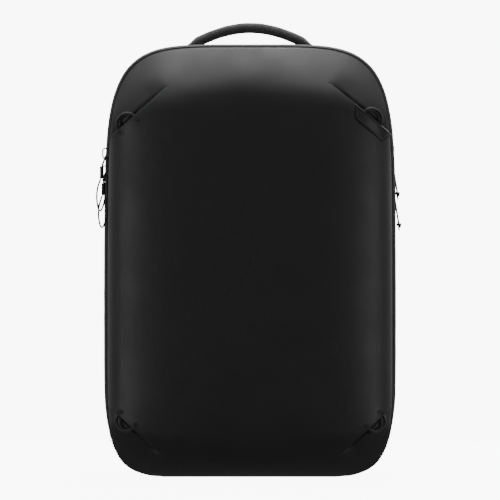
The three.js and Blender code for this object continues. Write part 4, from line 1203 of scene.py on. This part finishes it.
for pull in PULLS:
    settle(object_of(f"slider_with_bail_{pull}", place_at_pull(slider(), pull)), f"slider_{pull}", METAL,
           [f"zip_slider_{pull}"])
    if pull.startswith("left"):
        settle(object_of(f"pull_grip_{pull}", grip(pull)), f"pull_{pull}", RUBBER,
               [f"pull_sleeve_{pull}"])

# ---- Harness panel ------------------------------------------------------------------------------

PANEL_Y, PANEL_BACK_Y = PANEL_LOW[1], PANEL_HIGH[1]
PAD_BACK_Y = PANEL_BACK_Y + 11.3 * MM


def panel_rings(profile, count=360):
    """Rings round the panel: one for each (inset, base inset, y), then the last drawn in to the middle."""
    rows = [[(x, y, z) for x, z in outline(count, inset, base)] for inset, base, y in profile]
    last = np.array(rows[-1])
    for radius in (0.97, 0.93, 0.88, 0.82, 0.75, 0.67, 0.58, 0.48, 0.38, 0.27, 0.16, 0.06, 0.004):
        rows.append([(x * radius, y, MID_Z + (z - MID_Z) * radius) for x, y, z in last])
    return np.array(rows)


def panel_back():
    profile = [(4, 5, 0.3), (1.6, 2.6, 0), (1.1, 2.1, 0.5), (1.0, 2.0, 1.6), (1.0, 2.0, 4.0), (1.0, 2.0, 6.0),
               (1.4, 2.5, 7.6), (2.4, 3.6, 9.0), (4.0, 5.4, 10.1), (6.0, 7.8, 10.8), (8.5, 10.2, 11.0)]
    rows = panel_rings([(a * MM, b * MM, PANEL_Y + y * MM) for a, b, y in profile])
    bm = sheet_of_points(rows, wrap=True, caps=False)
    for vert in bm.verts:
        if vert.co.y > PANEL_Y + 10 * MM:
            vert.co.y += ruffle(vert.co, 4, 24, 0.3 * MM) - 0.25 * MM
    return facing(bm, 1, 1)


settle(object_of("harness_panel_fabric", panel_back()), "rear_panel", WOVEN,
       ["harness_panel"])
inner = sheet_of_points(panel_rings([(4.2 * MM, 5.2 * MM, PANEL_Y + 0.35 * MM),
                                     (5 * MM, 6 * MM, PANEL_Y + 0.1 * MM)]),
                        wrap=True, caps=False)
settle(object_of("harness_panel_lining", facing(inner, 1, -1)), "rear_panel", LINING)
edge_row = [(x, PANEL_BACK_Y - 1.05 * MM, z) for x, z in zip_path(4.7 * MM, 12 * MM, 800)]
stitches("harness_panel_edge_stitching", [edge_row], "rear_panel")

PADS = {"upper": (112 * MM, 196 * MM, 314 * MM), "lower": (124 * MM, 120 * MM, 140 * MM)}
CHANNELS = {"upper": (-0.46, 0.0, 0.46), "lower": (-0.32, 0.32)}


def pad_core(width, height, thick, corner, step=4.5 * MM):
    """A flat pad with a round-cornered outline, closed, about the origin, its faces towards -Y and +Y."""
    rings = []
    edge = rounded_rectangle(width, height, corner, 9)
    closed = np.concatenate([edge, edge[:1]])
    along = np.concatenate([[0], np.cumsum(np.hypot(*np.diff(closed, axis=0).T))])
    at = np.linspace(0, along[-1], int(along[-1] / step), endpoint=False)
    edge = np.stack([np.interp(at, along, closed[:, k]) for k in range(2)], axis=1)
    shrink = np.linspace(1, 0.03, int(width / 2 / step))
    for hand in (-1, 1):
        side = []
        for share in shrink:
            depth = width / 2 * (1 - share)
            crown = thick / 2 * min(1, depth / (6 * MM)) ** 0.5
            scale = np.array([share, max(0.02, 1 - depth * 2 / height)])
            side.append([(p[0] * scale[0], hand * crown, p[1] * scale[1]) for p in edge])
        rings = (side[::-1] + rings) if hand < 0 else (rings + side[1:])
    return sheet_of_points(rings, wrap=True)


def inflated(obj, pressure=4.0, frames=20, reach=2.6 * MM):
    """Fills a closed cloth shell as foam does: pressed out from inside, held where its group keeps it."""
    cloth = obj.modifiers.new("fill", "CLOTH")
    cloth.settings.quality = 6
    cloth.settings.mass = 0.25
    cloth.settings.tension_stiffness = 22
    cloth.settings.compression_stiffness = 22
    cloth.settings.shear_stiffness = 12
    cloth.settings.bending_stiffness = 1.2
    cloth.settings.use_pressure = True
    cloth.settings.uniform_pressure_force = pressure
    cloth.settings.effector_weights.gravity = 0
    cloth.settings.vertex_group_mass = "held"
    cloth.collision_settings.use_collision = False
    cloth.point_cache.frame_start, cloth.point_cache.frame_end = 1, frames
    for number in range(1, frames + 1):
        scene.frame_set(number)
    settled = obj.evaluated_get(bpy.context.evaluated_depsgraph_get()).data
    places = np.empty(len(settled.vertices) * 3)
    settled.vertices.foreach_get("co", places)
    rest = np.empty(len(obj.data.vertices) * 3)
    obj.data.vertices.foreach_get("co", rest)
    move = (places - rest).reshape(-1, 3)
    size = np.linalg.norm(move, axis=1)[:, None]
    move *= np.minimum(1, reach / np.maximum(size, 1e-9))
    obj.modifiers.remove(cloth)
    scene.frame_set(1)
    obj.data.vertices.foreach_set("co", (rest.reshape(-1, 3) + move).ravel())
    obj.data.update()


def apply_subdivision(obj, levels=1):
    modifier = obj.modifiers.new("smooth", "SUBSURF")
    modifier.levels = levels
    evaluated = obj.evaluated_get(bpy.context.evaluated_depsgraph_get())
    finer = bpy.data.meshes.new_from_object(evaluated)
    obj.modifiers.remove(modifier)
    old = obj.data
    obj.data = finer
    bpy.data.meshes.remove(old)


def back_pad(name, width, height, z, side, channels):
    """A back pad: foam in a spacer-mesh cover, quilted by stitched channels and bound round its edge."""
    middle = Vector((side * (width / 2 + 9 * MM), PANEL_BACK_Y + 5.9 * MM, z))
    bm = pad_core(width - 7 * MM, height - 7 * MM, 6.4 * MM, 19 * MM)
    pad = object_of(name, moved(bm, middle))
    held = pad.vertex_groups.new(name="held")
    for vert in pad.data.vertices:
        x, y, zz = vert.co - middle
        rim = max(abs(x) / (width / 2 - 3.6 * MM), abs(zz) / (height / 2 - 3.6 * MM))
        line = min(abs(zz - c * height / 2) for c in channels)
        weight = max(smooth_step((rim - 0.93) / 0.06), 1 if y < -0.5 * MM else 0, 1 if line < 2.4 * MM else 0)
        if weight > 0.01:
            held.add([vert.index], float(weight), "REPLACE")
        if y > 0.5 * MM and line < 2.4 * MM:
            vert.co.y -= 2.1 * MM
    inflated(pad)
    apply_subdivision(pad)
    ceiling = PAD_BACK_Y + 0.8 * MM
    floor_y = PANEL_BACK_Y - 0.05 * MM
    for vert in pad.data.vertices:
        vert.co.y = min(max(vert.co.y, floor_y), ceiling)
    return pad, middle


for row, (width, height, z) in PADS.items():
    for side, sign in (("left", -1), ("right", 1)):
        pad, middle = back_pad(f"back_pad_cover_{row}_{side}", width, height, z, sign, CHANNELS[row])
        pad.vertex_groups.clear()
        settle(pad, "rear_panel", SPACER, [f"back_pad_{row}_{side}"])
        edge = rounded_rectangle(width - 6 * MM, height - 6 * MM, 19.5 * MM, 12)
        line = [middle + Vector((p[0], -1.2 * MM, p[1])) for p in edge]
        line = smooth_path([tuple(p) for p in line], 260, closed=True)
        piping = swept(line, circle(1.5 * MM, 10), closed=True, up=(0, 1, 0))
        settle(object_of(f"back_pad_piping_{row}_{side}", piping), "rear_panel", BINDING)
        quilt = [[(middle.x + s * (width / 2 - 9 * MM), middle.y + 1.55 * MM, z + c * height / 2 + gap)
                  for s in np.linspace(-1, 1, 40)] for c in CHANNELS[row] for gap in (-1.1 * MM, 1.1 * MM)]
        stitches(f"back_pad_quilting_{row}_{side}", quilt, "rear_panel", thick=0.8 * MM)

# ---- Shoulder straps ----------------------------------------------------------------------------

STRAP_ROOT_Y = PANEL_BACK_Y + 9 * MM
PAD_ROUTE = [(52, 1, 443), (53, 17, 446), (56, 32, 426), (61, 38, 385), (72, 39, 330), (88, 37, 275),
             (101, 32, 225), (107.3, 26.4, 190.5)]
PAD_WIDTHS, PAD_THICKS = [22, 44, 58, 62, 64, 64, 58, 44], [6, 10, 11, 11, 11, 11, 10, 8]
WEB_ROUTE = [(110.5, 20, 157.5), (114, 17, 130), (120, 11, 90), (126, 4, 62), (128, -3.4, 46)]


def on_strap(sign, route, count):
    return smooth_path([(sign * x * MM, STRAP_ROOT_Y + y * MM, z * MM) for x, y, z in route], count)


def strap_frames(points):
    """Along a strap: the direction across it, level with the pack's width, and the one out of its face."""
    ahead = np.gradient(points, axis=0)
    ahead /= np.linalg.norm(ahead, axis=1)[:, None]
    across = np.array([1, 0, 0]) - ahead * ahead[:, :1]
    across /= np.linalg.norm(across, axis=1)[:, None]
    return across, np.cross(ahead, across)


def strip(points, section, widths=None, lift=0.0):
    """A section of (across, out) points along a strap's line, lifted off it by a height or a row of them."""
    across, out = strap_frames(points)
    widths = np.ones(len(points)) if widths is None else np.asarray(widths)
    section = np.asarray(section)
    lift = np.broadcast_to(lift, (len(points),))
    grid = (points[:, None] + across[:, None] * (section[None, :, :1] * widths[:, None, None])
            + out[:, None] * (section[None, :, 1:] + lift[:, None, None]))
    return sheet_of_points(grid, wrap=True)


def strap_size(share):
    at = np.linspace(0, 1, len(PAD_WIDTHS))
    return np.interp(share, at, PAD_WIDTHS) * MM, np.interp(share, at, PAD_THICKS) * MM


def strap_pad(sign):
    """The foam strap in its spacer-mesh cover: pillowed towards its bound edges, creased where it bends."""
    points = on_strap(sign, PAD_ROUTE, 190)
    across, out = strap_frames(points)
    rows = []
    for i, share in enumerate(np.linspace(0, 1, 190)):
        width, thick = strap_size(share)
        end = smooth_step(min(share, 1 - share) / 0.025)
        crease = 1 - 0.10 * math.exp(-((share - 0.1) / 0.03) ** 2) * (0.5 + 0.5 * math.cos(share * 420))
        row = []
        for t in np.linspace(0, 2 * math.pi, 44, endpoint=False):
            c, s = math.cos(t), math.sin(t)
            x = math.copysign(abs(c) ** 0.55, c) * (width / 2 - 1.2 * MM) * (0.96 + 0.04 * end)
            y = math.copysign(abs(s) ** 0.8, s) * thick / 2 * (0.55 + 0.45 * end) * crease
            row.append(points[i] + across[i] * x + out[i] * y)
        rows.append(row)
    return sheet_of_points(rows, wrap=True), points


def strap_edge(points, hand, count=190):
    across, _ = strap_frames(points)
    widths = np.array([strap_size(share)[0] for share in np.linspace(0, 1, count)])
    return points + across * (hand * (widths / 2 - 1.1 * MM))[:, None]


def box_of_thread(centre, half_x, half_z, y):
    """The lines of a sewn box with a cross in it, flat against the panel."""
    corners = [(-1, -1), (1, -1), (1, 1), (-1, 1)]
    pairs = [(0, 1), (1, 2), (2, 3), (3, 0), (0, 2), (1, 3)]
    lines = []
    for a, b in pairs:
        start, end = np.array(corners[a]), np.array(corners[b])
        lines.append([(centre[0] + p[0] * half_x, y, centre[1] + p[1] * half_z)
                      for p in (start + (end - start) * s for s in np.linspace(0, 1, 14))])
    return lines


for side, sign in (("left", -1), ("right", 1)):
    body = f"strap_{side}"
    bm, points = strap_pad(sign)
    pad = settle(object_of(f"shoulder_strap_pad_{side}", bm), body, SPACER,
                 [f"shoulder_strap_{side}"])
    for hand, edge_name in ((-1, "inner"), (1, "outer")):
        line = strap_edge(points, hand)[3:-3]
        tape = strip(line, [(1.5 * MM * math.cos(t), 2.3 * MM * math.sin(t))
                            for t in np.linspace(0, 2 * math.pi, 14, endpoint=False)])
        settle(object_of(f"shoulder_strap_binding_{side}_{edge_name}", tape), body, BINDING)
        sewn = strap_edge(points, hand)[5:-5] - strap_frames(points)[0][5:-5] * (hand * 2.6 * MM)
        thick = np.array([strap_size(s)[1] for s in np.linspace(0, 1, 190)])[5:-5, None]
        sewn = sewn + strap_frames(points)[1][5:-5] * (-(thick * 0.5 * 0.52))
        stitches(f"shoulder_strap_stitching_{side}_{edge_name}", [sewn], body, thick=0.7 * MM)
    thicks = np.array([strap_size(s)[1] for s in np.linspace(0, 1, 190)]) / 2
    daisy = on_strap(sign, PAD_ROUTE, 190)[22:176]
    gap = 26 * MM
    along = np.concatenate([[0], np.cumsum(np.linalg.norm(np.diff(daisy, axis=0), axis=1))])
    cell = (along % gap) / gap
    lift = thicks[22:176] + (0.7 + 1.3 * np.abs(np.sin(cell * math.pi)) ** 0.7) * MM
    daisy_web = strip(daisy, rounded_rectangle(19 * MM, 1.5 * MM, 0.6 * MM, 2), lift=lift)
    settle(object_of(f"daisy_webbing_{side}", daisy_web), body, WEBBING)
    across, out = strap_frames(daisy)
    tacks = []
    for k in range(int(along[-1] / gap) + 1):
        i = int(np.argmin(np.abs(along - k * gap)))
        spot = daisy[i] + out[i] * (thicks[22 + i] + 1.55 * MM)
        ahead = np.cross(across[i], out[i])
        for step in (-0.9, 0, 0.9):
            tacks.append([tuple(spot + across[i] * s * MM + ahead * step * MM) for s in (-8.4, 8.4)])
    stitches(f"daisy_bartacks_{side}", tacks, body, spacing=1.7 * MM, long=1.9 * MM, thick=0.8 * MM)
    root = moved(block((48 * MM, 2.5 * MM, 24 * MM), 0.7 * MM),
                 (sign * 52 * MM, PANEL_BACK_Y + 1.55 * MM, 440 * MM))
    settle(object_of(f"strap_root_webbing_{side}", root), "rear_panel", WEBBING,
           [f"strap_tab_top_{side}"])
    foot = moved(block((26 * MM, 2 * MM, 22 * MM), 0.6 * MM),
                 (sign * 128 * MM, PANEL_BACK_Y + 1.3 * MM, 39 * MM))
    settle(object_of(f"strap_foot_webbing_{side}", foot), "rear_panel", WEBBING,
           [f"strap_tab_base_{side}"])
    boxes = box_of_thread((sign * 52 * MM, 0.440), 21 * MM, 9 * MM, PANEL_BACK_Y + 2.85 * MM)
    boxes += box_of_thread((sign * 128 * MM, 0.0385), 9.5 * MM, 7.5 * MM, PANEL_BACK_Y + 2.35 * MM)
    stitches(f"strap_anchor_stitching_{side}", boxes, "rear_panel", long=2.2 * MM, spacing=2.9 * MM)
    web = strip(on_strap(sign, WEB_ROUTE, 80), rounded_rectangle(25 * MM, 1.8 * MM, 0.7 * MM, 2))
    settle(object_of(f"adjusting_webbing_{side}", web), body, WEBBING, [f"lower_webbing_{side}"])
    tail = on_strap(sign, PAD_ROUTE, 190)[-14:]
    tail = np.concatenate([tail, tail[-1:] + (tail[-1:] - tail[-2:-1]) * 3.2])
    keeper = strip(tail, rounded_rectangle(25 * MM, 1.6 * MM, 0.6 * MM, 2), lift=-thicks[-1] * 0.95)
    settle(object_of(f"ladder_lock_keeper_{side}", keeper), body, WEBBING)


def ladder_lock():
    """A ladder lock, lying in XZ: a frame with two cross bars, a lifting lip and rounded corners."""
    parts = []
    frame_line = [(p[0], 0, p[1]) for p in rounded_rectangle(29.6 * MM, 19.6 * MM, 3.4 * MM, 5)]
    parts.append(swept(frame_line, rounded_rectangle(4.4 * MM, 4.4 * MM, 1.3 * MM, 3), closed=True,
                       up=(0, 1, 0)))
    parts.append(moved(block((27 * MM, 4.2 * MM, 4.0 * MM), 1.1 * MM), (0, 0.1 * MM, 0.4 * MM)))
    teeth = [moved(block((1.2 * MM, 1.0 * MM, 2.8 * MM), 0.3 * MM, 1), (x * MM, 2.2 * MM, 0.4 * MM))
             for x in np.linspace(-11, 11, 9)]
    lip = moved(block((20 * MM, 3.4 * MM, 4.6 * MM), 1.1 * MM), (0, 1.0 * MM, -11.4 * MM))
    return together(*parts, *teeth, lip)


def side_release(side):
    """Half a side-release buckle hanging from z = 0: the tongue on the left and the socket on the right."""
    bar = [moved(block((25 * MM, 5.6 * MM, 2.4 * MM), 0.9 * MM), (0, 0, z * MM)) for z in (-1.4, -6.0)]
    bar += [moved(block((2.6 * MM, 6.2 * MM, 8.6 * MM), 0.9 * MM), (x * MM, 0, -4.4 * MM))
            for x in (-11.2, 11.2)]
    if side == "left":
        prongs = [swept([(s * 8.6 * MM, 0, -7 * MM), (s * 9.4 * MM, 0, -14 * MM),
                         (s * 10.6 * MM, 0, -21 * MM), (s * 8.4 * MM, 0, -26 * MM),
                         (s * 5.6 * MM, 0, -28.6 * MM)],
                        rounded_rectangle(4.2 * MM, 2.6 * MM, 0.9 * MM, 2), up=(0, 1, 0),
                        scale=[1, 0.9, 1, 1.1, 0.8]) for s in (-1, 1)]
        guide = moved(block((3.4 * MM, 2.8 * MM, 22 * MM), 0.9 * MM), (0, 0, -17.4 * MM))
        neck = moved(block((22 * MM, 4.4 * MM, 3 * MM), 1.1 * MM), (0, 0, -8.4 * MM))
        return together(*bar, *prongs, guide, neck)
    rows = []
    for z, half, thick in ((-6, 11.0, 3.2), (-7, 11.9, 4.0), (-10, 12.2, 4.4), (-16, 10.2, 4.5),
                           (-22, 11.6, 4.5), (-26.4, 11.8, 4.3), (-27.8, 11.0, 3.6)):
        rows.append([(p[0] * MM, p[1] * MM, z * MM) for p in rounded_rectangle(2 * half, 2 * thick, 2.4, 5)])
    mouth = [moved(block((3.2 * MM, 5 * MM, 7 * MM), 1.0 * MM), (x * MM, 0, -17.5 * MM))
             for x in (-10.4, 10.4)]
    ribs = [moved(block((9 * MM, 0.7 * MM, 0.9 * MM), 0.25 * MM, 1), (0, 4.5 * MM, z * MM))
            for z in (-14, -17, -20)]
    return together(*bar, sheet_of_points(rows, wrap=True), *mouth, *ribs)


for side, sign in (("left", -1), ("right", 1)):
    lean = Vector((0, 0, 1)).rotation_difference(Vector((0, math.sin(0.16), math.cos(0.16)))).to_matrix()
    lock = moved(ladder_lock(), (sign * 109.5 * MM, STRAP_ROOT_Y + 22.5 * MM, 172 * MM), lean)
    settle(object_of(f"ladder_lock_frame_{side}", lock), f"ladder_lock_{side}", NYLON,
           [f"ladder_lock_{side}"])
    clip_y = STRAP_ROOT_Y + (39 + 5.5 + 2.3) * MM
    clip = together(moved(block((30 * MM, 3.2 * MM, 12 * MM), 1.2 * MM), (sign * 63 * MM, clip_y, 336 * MM)),
                    moved(block((24 * MM, 2.2 * MM, 3 * MM), 0.9 * MM),
                          (sign * 63 * MM, clip_y + 1.6 * MM, 341 * MM)))
    settle(object_of(f"sternum_clip_body_{side}", clip), f"sternum_clip_{side}", NYLON,
           [f"sternum_clip_{side}"])
    drop = 92 if side == "left" else 62
    web_y = clip_y + (2 + 0.3 + 0.9) * MM
    hang = [(sign * 63 * MM, web_y, (344 - drop * s) * MM) for s in np.linspace(0, 1, 40)]
    sternum = swept(hang, rounded_rectangle(19 * MM, 1.7 * MM, 0.6 * MM, 2), up=(0, 1, 0))
    fold = moved(block((19.2 * MM, 3.2 * MM, 9 * MM), 0.8 * MM),
                 (sign * 63 * MM, web_y, (344 - drop + 11) * MM))
    settle(object_of(f"sternum_web_{side}", together(sternum, fold)), f"sternum_strap_{side}", WEBBING,
           [f"sternum_webbing_{side}"])
    sewn = [[(sign * 63 * MM + x * MM, web_y + 1.65 * MM, (344 - drop + z) * MM)
             for x in np.linspace(-7.5, 7.5, 10)] for z in (8.6, 11, 13.4)]
    stitches(f"sternum_stitching_{side}", sewn, f"sternum_strap_{side}", long=1.9 * MM, spacing=2.4 * MM)
    buckle = moved(side_release(side), (sign * 63 * MM, web_y, (344 - drop - 0.3) * MM))
    settle(object_of(f"sternum_side_release_{side}", buckle), f"sternum_strap_{side}", NYLON,
           [f"sternum_buckle_{side}"])

# ---- Inside -------------------------------------------------------------------------------------


def round_panel(half_x, z_low, z_high, corner, y, rows=26, columns=60, dip=0.0, seed=1):
    """A round-cornered flat piece across the pack at depth y, as a grid bulging by dip."""
    grid = []
    for v in np.linspace(0, 1, rows):
        z = z_low + (z_high - z_low) * v
        near = min(z - z_low, z_high - z)
        inset = corner - math.sqrt(max(corner ** 2 - (corner - min(near, corner)) ** 2, 0))
        half = half_x - inset
        row = []
        for u in np.linspace(-1, 1, columns):
            fold = dip * (1 - u ** 4) * math.sin(v * math.pi)
            row.append((u * half, y + fold + ruffle((u * half, y, z), seed, 22, 0.5 * MM) * (1 - u ** 6), z))
        grid.append(row)
    return grid


def double_sheet(grid, thick):
    """A sheet with two faces and closed edges."""
    front = np.array(grid)
    back = front + np.array([0, thick, 0])
    bm = bmesh.new()
    uv_layer = bm.loops.layers.uv.new("UVMap")
    rows, columns = front.shape[:2]
    near = [[bm.verts.new(p) for p in row] for row in front]
    far = [[bm.verts.new(p) for p in row] for row in back]
    for i in range(rows - 1):
        for j in range(columns - 1):
            bm.faces.new((near[i][j], near[i][j + 1], near[i + 1][j + 1], near[i + 1][j]))
            bm.faces.new((far[i][j], far[i + 1][j], far[i + 1][j + 1], far[i][j + 1]))
    ring = [(0, j) for j in range(columns)] + [(i, columns - 1) for i in range(1, rows)]
    ring += [(rows - 1, j) for j in range(columns - 2, -1, -1)] + [(i, 0) for i in range(rows - 2, 0, -1)]
    for (a, b), (c, d) in zip(ring, ring[1:] + ring[:1]):
        bm.faces.new((near[a][b], far[a][b], far[c][d], near[c][d]))
    bmesh.ops.recalc_face_normals(bm, faces=bm.faces)
    for face in bm.faces:
        for corner in face.loops:
            corner[uv_layer].uv = (corner.vert.co.x, corner.vert.co.z)
    return bm


def edge_binding(grid, inset=0.0, lift=0.0):
    """A line round a grid's edge, for its bound hem."""
    grid = np.array(grid)
    ring = np.concatenate([grid[0], grid[1:, -1], grid[-1, ::-1][1:], grid[1:-1, 0][::-1]])
    middle = ring.mean(axis=0)
    ring = ring + (middle - ring) * np.array([1, 0, 1]) * inset
    ring[:, 1] += lift
    return smooth_path(ring[::2], 420, closed=True)


# The lid's organiser: a net panel whose bound edge is sewn to the lid, with a zip along its top.
net_y = LID_EDGE_Y - 4.6 * MM
net = round_panel(146 * MM, 22 * MM, 330 * MM, 24 * MM, net_y, dip=-1.2 * MM)
organiser = settle(object_of("organiser_net", double_sheet(net, 0.7 * MM)), "front_lid", NET,
                   ["lid_organiser_panel"])
hem_line = edge_binding(net, lift=0.35 * MM)
hem = settle(object_of("organiser_binding",
                       swept(hem_line, rounded_rectangle(2.0 * MM, 6.5 * MM, 0.8 * MM, 2),
                                                  closed=True, up=(0, 1, 0))), "front_lid", BINDING)
stitches("organiser_stitching", [edge_binding(net, inset=0.012, lift=1.75 * MM)], "front_lid", thick=0.7 * MM)
pocket_zip = [[(x, net_y + 1.9 * MM, 0.302) for x in np.linspace(-128 * MM, 128 * MM, 160)]]
settle(repeated("organiser_zip_coil", pocket_zip, tooth(), 2.15 * MM, COIL, across=(0, 0, 1)), "front_lid",
       COIL)
pocket_tape = moved(block((262 * MM, 1.1 * MM, 15 * MM), 0.45 * MM, 2), (0, net_y + 1.0 * MM, 0.302))
settle(object_of("organiser_zip_tape", pocket_tape), "front_lid", TAPE)
divide = moved(block((5 * MM, 1.4 * MM, 268 * MM), 0.5 * MM, 2), (0, net_y + 0.75 * MM, 0.160))
settle(object_of("organiser_divider_tape", divide), "front_lid", BINDING)

# The bound seam allowances round the lid's and the gusset's openings.
for name, y, inset, body in (("lid", LID_EDGE_Y - 2.2 * MM, 6.1 * MM, "front_lid"),
                             ("gusset_front", GUSSET_FRONT_Y + 3.4 * MM, 4.6 * MM, "pack_body"),
                             ("gusset_rear", GUSSET_REAR_Y - 3.6 * MM, 5.6 * MM, "pack_body")):
    ring = outline(700, inset, max(inset, 0))
    line = [(x, y, z) for x, z in ring]
    piece = swept(line, rounded_rectangle(1.8 * MM, 5.0 * MM, 0.7 * MM, 2), closed=True, up=(0, 1, 0))
    settle(object_of(f"{name}_seam_binding", piece), body, BINDING)

# The laptop sleeve: a padded tray with rolled edges, a pull-tab strap over its mouth and a quilted face.
SLEEVE_HALF, SLEEVE_FRONT, SLEEVE_BACK = 132 * MM, 31 * MM, 60.7 * MM
SLEEVE_LOW, SLEEVE_TOP, SLEEVE_WALL = 18 * MM, 345 * MM, 4 * MM


def sleeve_tray():
    """The sleeve's front and its three gussets, all one padded wall, open at the top."""
    corner = 9 * MM
    path = [(-SLEEVE_HALF, SLEEVE_BACK)]
    for sign in (-1, 1):
        turns = np.linspace(0, math.pi / 2, 8) if sign < 0 else np.linspace(math.pi / 2, 0, 8)
        for t in turns:
            path.append((sign * (SLEEVE_HALF - corner + corner * math.cos(t)),
                         SLEEVE_FRONT + corner - corner * math.sin(t)))
        if sign < 0:
            path += [(x, SLEEVE_FRONT) for x in np.linspace(-SLEEVE_HALF + corner + 5 * MM,
                                                            SLEEVE_HALF - corner - 5 * MM, 44)]
    path.append((SLEEVE_HALF, SLEEVE_BACK))
    path = np.array(path)
    ahead = np.gradient(path, axis=0)
    ahead /= np.linalg.norm(ahead, axis=1)[:, None]
    inwards = np.stack([-ahead[:, 1], ahead[:, 0]], axis=1)
    heights = np.concatenate([[SLEEVE_LOW], np.linspace(SLEEVE_LOW + 2 * MM, SLEEVE_TOP - 2 * MM, 60),
                              [SLEEVE_TOP]])
    outer, inner = [], []
    for z in heights:
        ease = smooth_step(min(z - SLEEVE_LOW, SLEEVE_TOP - z) / (5 * MM))
        puff, thin = [], []
        for p, n in zip(path, inwards):
            pillow = ruffle((p[0], 0, z), 6, 20, 0.7 * MM) if abs(p[0]) < SLEEVE_HALF - 6 * MM else 0
            quilt = 0.8 * MM * math.exp(-((abs(p[0]) % (44 * MM) - 22 * MM) / (2.2 * MM)) ** 2)
            flat = abs(p[0]) < SLEEVE_HALF - corner
            low = p + n * ((1 - ease) * 1.4 * MM + (quilt * ease if flat else 0) + max(pillow, 0) * 0.5)
            high = p + n * (SLEEVE_WALL - (1 - ease) * 1.2 * MM)
            puff.append((low[0], low[1], z))
            thin.append((high[0], high[1], z))
        outer.append(puff)
        inner.append(thin)
    rings = [a + b[::-1] for a, b in zip(outer, inner)]
    return sheet_of_points(rings, wrap=True, caps=False)


tray = sleeve_tray()
bmesh.ops.holes_fill(tray, edges=[e for e in tray.edges if e.is_boundary], sides=0)
bmesh.ops.triangulate(tray, faces=[f for f in tray.faces if len(f.verts) > 4])
bmesh.ops.recalc_face_normals(tray, faces=tray.faces)
sleeve = settle(object_of("laptop_sleeve_padding", tray), "rear_panel", LINING, ["laptop_sleeve"])
base = moved(block((2 * SLEEVE_HALF - 6 * MM, SLEEVE_BACK - SLEEVE_FRONT - 3 * MM, 3.6 * MM), 1.4 * MM),
             (0, (SLEEVE_FRONT + SLEEVE_BACK) / 2 + 1.5 * MM, SLEEVE_LOW + 2.4 * MM))
settle(object_of("laptop_sleeve_base", base), "rear_panel", LINING)
mouth = [(x, SLEEVE_FRONT + 2 * MM, SLEEVE_TOP - 0.6 * MM)
         for x in np.linspace(-SLEEVE_HALF + 9 * MM, SLEEVE_HALF - 9 * MM, 90)]
settle(object_of("laptop_sleeve_mouth_binding",
                 swept(mouth, rounded_rectangle(5.2 * MM, 3.4 * MM, 1.5 * MM, 3), up=(0, 0, 1))),
       "rear_panel", BINDING)
quilting = []
for line in (-110, -66, -22, 22, 66, 110):
    quilting.append([(line * MM, SLEEVE_FRONT + 0.75 * MM, z) for z in np.linspace(28 * MM, 334 * MM, 130)])
stitches("laptop_sleeve_quilting", quilting, "rear_panel", thick=0.8 * MM)
strap = moved(block((24 * MM, 1.6 * MM, 96 * MM), 0.6 * MM, 2),
              (0, SLEEVE_FRONT - 0.4 * MM, SLEEVE_TOP - 20 * MM))
settle(object_of("laptop_sleeve_closing_strap", strap), "rear_panel", WEBBING)

# The frame sheet and the base stiffener, with softened edges.
sheet_rows = round_panel(136 * MM, 17 * MM, 469 * MM, 46 * MM, 61.05 * MM, rows=60, columns=40)
for row in sheet_rows:
    for k, p in enumerate(row):
        row[k] = (p[0], 61.05 * MM, p[2])
settle(object_of("frame_sheet_plate", double_sheet(sheet_rows, 1.5 * MM)), "rear_panel", STIFF,
       ["frame_sheet"])
plate = moved(block((200 * MM, 42.5 * MM, 2.4 * MM), 0.8 * MM), (0, 4.75 * MM, 5.45 * MM))
settle(object_of("base_stiffener_plate", plate), "pack_body", STIFF, ["base_stiffener"])

# ---- The CAD's own nodes, each of which a piece above stands for ---------------------------------

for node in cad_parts.values():
    node.data.materials.clear()
    node.data.materials.append(FACE)
